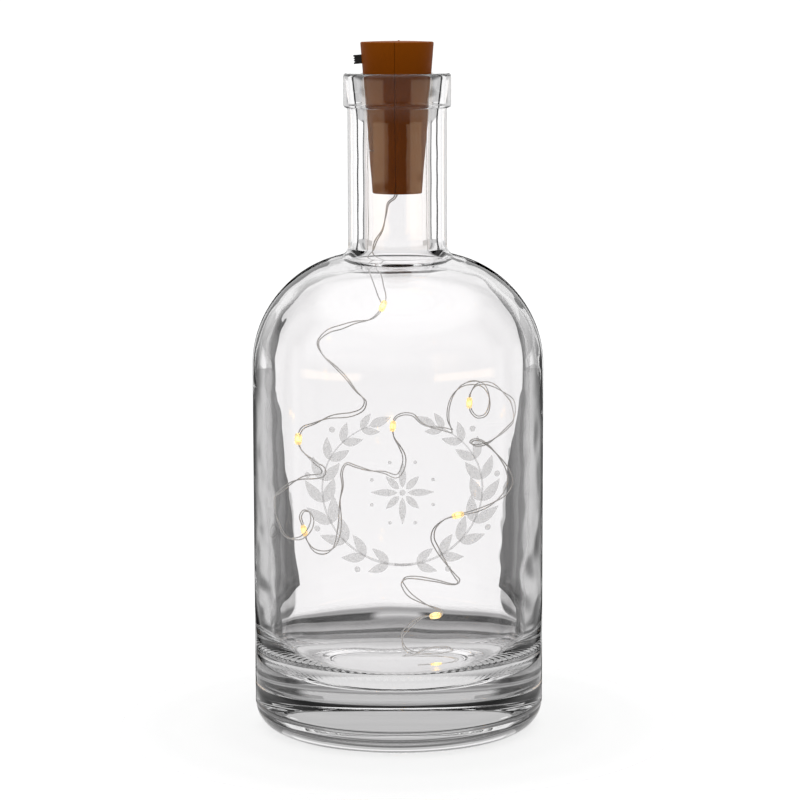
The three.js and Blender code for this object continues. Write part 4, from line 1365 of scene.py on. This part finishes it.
class BOTTLELIGHT_OT_stopper(bpy.types.Operator):
    """Make the stopper's two halves and its cell door"""

    bl_idname = "bottlelight.stopper"
    bl_label = "Stopper"

    def execute(self, context):
        sizes = context.scene.bottlelight_stopper
        switch = context.scene.bottlelight_switch
        brown = self.finish()
        outer = self.outer(sizes)
        reach = 2 * STOPPER_HIGH.x
        tall = STOPPER_HIGH.z
        hollow = twin(outer, "stopper_hollow")
        combine(hollow, self.room(sizes, sizes.wire_room_low, sizes.wire_room_high), "DIFFERENCE")
        combine(hollow, self.room(sizes, sizes.cell_room_low, sizes.cell_room_high), "DIFFERENCE")
        combine(hollow, self.switch_room(sizes, switch), "DIFFERENCE")
        hole = [(sizes.gland_hole, height) for height in (-sizes.wall, 2 * sizes.wall)]
        combine(hollow, turn_profile("bush", hole, HOLE_SIDES), "DIFFERENCE")
        left = twin(hollow, "stopper_left")
        combine(left, block("half", (-reach, -reach, -tall), (-sizes.seam / 2, reach, tall)), "INTERSECT")
        self.cut_left(left, sizes, switch)
        right = hollow
        right.name = "stopper_right"
        combine(right, block("half", (sizes.seam / 2, -reach, -tall), (reach, reach, tall)), "INTERSECT")
        self.add_nub(right, sizes)
        door = self.door(outer, sizes)
        names = {left: "stopper_shell_left", right: "stopper_shell_right", door: "battery_door"}
        for piece, node in names.items():
            bevel(piece, sizes.edge_bevel, 2)
            place(piece, stopper_frame(sizes))
            smooth(piece, 35.0)
            finish_piece(piece, brown, "stopper", "stopper_plastic", node)
        return {"FINISHED"}

    def finish(self):
        """Satin caramel plastic with soft clouds in its colour."""
        shading = Shading("stopper_plastic")
        clouds = shading.noise(160.0, 3.0)
        grain = shading.noise(2600.0, 2.0)
        tint = shading.blend_colours(clouds, (0.265, 0.061, 0.0), (0.327, 0.0785, 0.0))
        shading.feed(tint, "Base Color")
        shading.feed(shading.spread(clouds, 0.46, 0.58), "Roughness")
        shading.bump(grain, 0.08, 0.0001)
        shading.set(Specular_IOR_Level=0.07)
        return shading.material

    def outer(self, sizes):
        """The tapered plug as a whole, with a low crown."""
        high = STOPPER_HIGH.z - STOPPER_LOW.z
        low_radius, high_radius = stopper_radius(sizes, 0), stopper_radius(sizes, high)
        rim = high_radius - sizes.top_round
        crown_radius = (rim ** 2 + sizes.crown ** 2) / (2 * sizes.crown)
        crown_angle = math.degrees(math.asin(rim / crown_radius))
        outline = [
            (0.0003, 0.0),
            *arc(low_radius - sizes.bottom_round, sizes.bottom_round, sizes.bottom_round, -90, 0, 15.0),
            *arc(rim, high - sizes.top_round, sizes.top_round, 0, 90 - crown_angle, 15.0),
            *arc(0, high + sizes.crown - crown_radius, crown_radius, 90 - crown_angle, 89.9, 0.5),
        ]
        return turn_profile("stopper_outer", even_out(outline, STOPPER_STEP), STOPPER_SIDES)

    def room(self, sizes, low, high):
        """The tapered space inside the wall between two heights."""
        profile = [(stopper_radius(sizes, z) - sizes.wall, z) for z in (low, high)]
        return turn_profile("room", profile, ROOM_SIDES)

    def switch_room(self, sizes, switch):
        """The room for the switch, without the block of wall that the switch sits against."""
        room = self.room(sizes, sizes.switch_room_low, sizes.switch_room_high)
        width, tall = switch.seat_half_width, switch.seat_half_length
        matrix = switch_frame(sizes, switch)
        seat = block("seat", (-switch.knob_proud, -width, -tall), (switch.seat_depth, width, tall), matrix)
        combine(room, seat, "DIFFERENCE")
        return room

    def cut_left(self, left, sizes, switch):
        """Cuts the knob's slot and the doorway into the left half."""
        matrix = switch_frame(sizes, switch)
        width = switch.knob_width / 2 + switch.slot_room
        tall = (switch.knob_height + switch.travel) / 2 + switch.slot_room
        low, high = (-switch.knob_proud, -width, -tall), (2 * switch.seat_depth, width, tall)
        combine(left, block("slot", low, high, matrix), "DIFFERENCE")
        half, reach = sizes.door_half, 2 * STOPPER_HIGH.x
        doorway = block("doorway", (-reach, -half, sizes.door_low), (-sizes.door_gap, half, sizes.door_high))
        combine(left, doorway, "DIFFERENCE")

    def door(self, outer, sizes):
        """The piece of the wall that fills the doorway, with a shallow grip."""
        gap, half = sizes.door_gap, sizes.door_half - sizes.door_gap
        door = outer
        door.name = "stopper_door"
        combine(door, self.room(sizes, sizes.cell_room_low, sizes.cell_room_high), "DIFFERENCE")
        low, high = (-2 * STOPPER_HIGH.x, -half, sizes.door_low + gap), (-gap, half, sizes.door_high - gap)
        combine(door, block("bounds", low, high), "INTERSECT")
        grip_top = sizes.door_high - 2 * sizes.grip_height
        wall_x = -stopper_radius(sizes, grip_top)
        low = (wall_x - sizes.grip_depth, -sizes.grip_width / 2, grip_top - sizes.grip_height)
        high = (wall_x + sizes.grip_depth, sizes.grip_width / 2, grip_top)
        combine(door, block("grip", low, high), "DIFFERENCE")
        return door

    def add_nub(self, right, sizes):
        """A small nub where the mould was filled, beside the seam on the top."""
        top = STOPPER_HIGH.z - STOPPER_LOW.z + sizes.crown
        profile = arc(0, top - sizes.nub_radius / 2, sizes.nub_radius, -85, 85, 15.0)
        nub = turn_profile("nub", profile, NUB_SIDES)
        place(nub, Matrix.Translation((sizes.nub_radius + sizes.seam, 0, 0)))
        combine(right, nub, "UNION")


class BOTTLELIGHT_OT_switch(bpy.types.Operator):
    """Make the switch's knob"""

    bl_idname = "bottlelight.switch"
    bl_label = "Switch"

    def execute(self, context):
        sizes = context.scene.bottlelight_switch
        stopper = context.scene.bottlelight_stopper
        middle = sizes.travel / 2
        width, tall = sizes.knob_width / 2, sizes.knob_height / 2
        low, high = (-sizes.knob_proud, -width, middle - tall), (sizes.knob_depth, width, middle + tall)
        knob = block("switch_slider", low, high)
        for step in (-1, 0, 1):
            height = middle + 2 * step * sizes.groove
            low = (-2 * sizes.knob_proud, -sizes.knob_width, height - sizes.groove / 2)
            high = (-sizes.knob_proud + sizes.groove, sizes.knob_width, height + sizes.groove / 2)
            combine(knob, block("groove", low, high), "DIFFERENCE")
        bevel(knob, sizes.knob_bevel, 3)
        place(knob, stopper_frame(stopper) @ switch_frame(stopper, sizes))
        smooth(knob, 35.0)
        black = grained("black_plastic", (0.006, 0.006, 0.006), 0.45, grain=2200.0)
        finish_piece(knob, black, "switch_knob", "black_plastic", "switch_knob")
        return {"FINISHED"}


class BOTTLELIGHT_OT_inside(bpy.types.Operator):
    """Finish the pieces inside the stopper"""

    bl_idname = "bottlelight.inside"
    bl_label = "Inside of the stopper"

    def execute(self, context):
        finishes = {
            "cell_steel": grained("cell_steel", (0.72, 0.72, 0.73), 0.24, metal=1.0, stretch=(1, 1, 14)),
            "nickel": grained("nickel", (0.68, 0.66, 0.61), 0.22, metal=1.0, grain=1400.0, relief=0.08),
            "black_plastic": grained("switch_base_plastic", (0.012, 0.012, 0.012), 0.5),
            "board_laminate": grained("board_laminate", (0.02, 0.13, 0.05), 0.42, grain=1800.0),
            "ceramic": grained("ceramic", (0.02, 0.02, 0.024), 0.6, grain=2600.0),
            "gland_rubber": grained("gland_rubber", (0.03, 0.022, 0.016), 0.7),
            "black_sleeve": grained("black_sleeve", (0.012, 0.012, 0.012), 0.45),
            "red_sleeve": grained("red_sleeve", (0.4, 0.015, 0.012), 0.45),
        }
        for part in frame["record"]["subparts"]:
            slot = part["material_slot"]
            if slot in finishes and part["node"] != "switch_knob":
                node = frame["nodes"][part["node"]]
                node.data.materials.clear()
                node.data.materials.append(finishes[slot])
        return {"FINISHED"}


class BOTTLELIGHT_PT_panel(bpy.types.Panel):
    """The pieces of the bottle light"""

    bl_idname = "BOTTLELIGHT_PT_panel"
    bl_label = "Bottle light"
    bl_space_type = "VIEW_3D"
    bl_region_type = "UI"
    bl_category = "Bottle light"

    def draw(self, context):
        for operator in OPERATORS:
            self.layout.operator(operator.bl_idname)


GROUPS = {
    "bottlelight_stage": StageSizes,
    "bottlelight_string": StringSizes,
    "bottlelight_bottle": BottleSizes,
    "bottlelight_wreath": WreathSizes,
    "bottlelight_stopper": StopperSizes,
    "bottlelight_switch": SwitchSizes,
}
OPERATORS = (
    BOTTLELIGHT_OT_stage,
    BOTTLELIGHT_OT_string,
    BOTTLELIGHT_OT_bottle,
    BOTTLELIGHT_OT_wreath,
    BOTTLELIGHT_OT_stopper,
    BOTTLELIGHT_OT_switch,
    BOTTLELIGHT_OT_inside,
)
CLASSES = (*GROUPS.values(), *OPERATORS, BOTTLELIGHT_PT_panel)


def register():
    """Registers the classes and puts the sizes on the scene."""
    for cls in CLASSES:
        bpy.utils.register_class(cls)
    for name, group in GROUPS.items():
        setattr(bpy.types.Scene, name, bpy.props.PointerProperty(type=group))


def unregister():
    """Takes the sizes off the scene and removes the classes."""
    for name in GROUPS:
        delattr(bpy.types.Scene, name)
    for cls in reversed(CLASSES):
        bpy.utils.unregister_class(cls)


def main():
    """Makes every piece in order."""
    register()
    bpy.ops.bottlelight.stage()
    bpy.ops.bottlelight.string()
    bpy.ops.bottlelight.bottle()
    bpy.ops.bottlelight.wreath()
    bpy.ops.bottlelight.stopper()
    bpy.ops.bottlelight.switch()
    bpy.ops.bottlelight.inside()


if __name__ == "__main__":
    main()
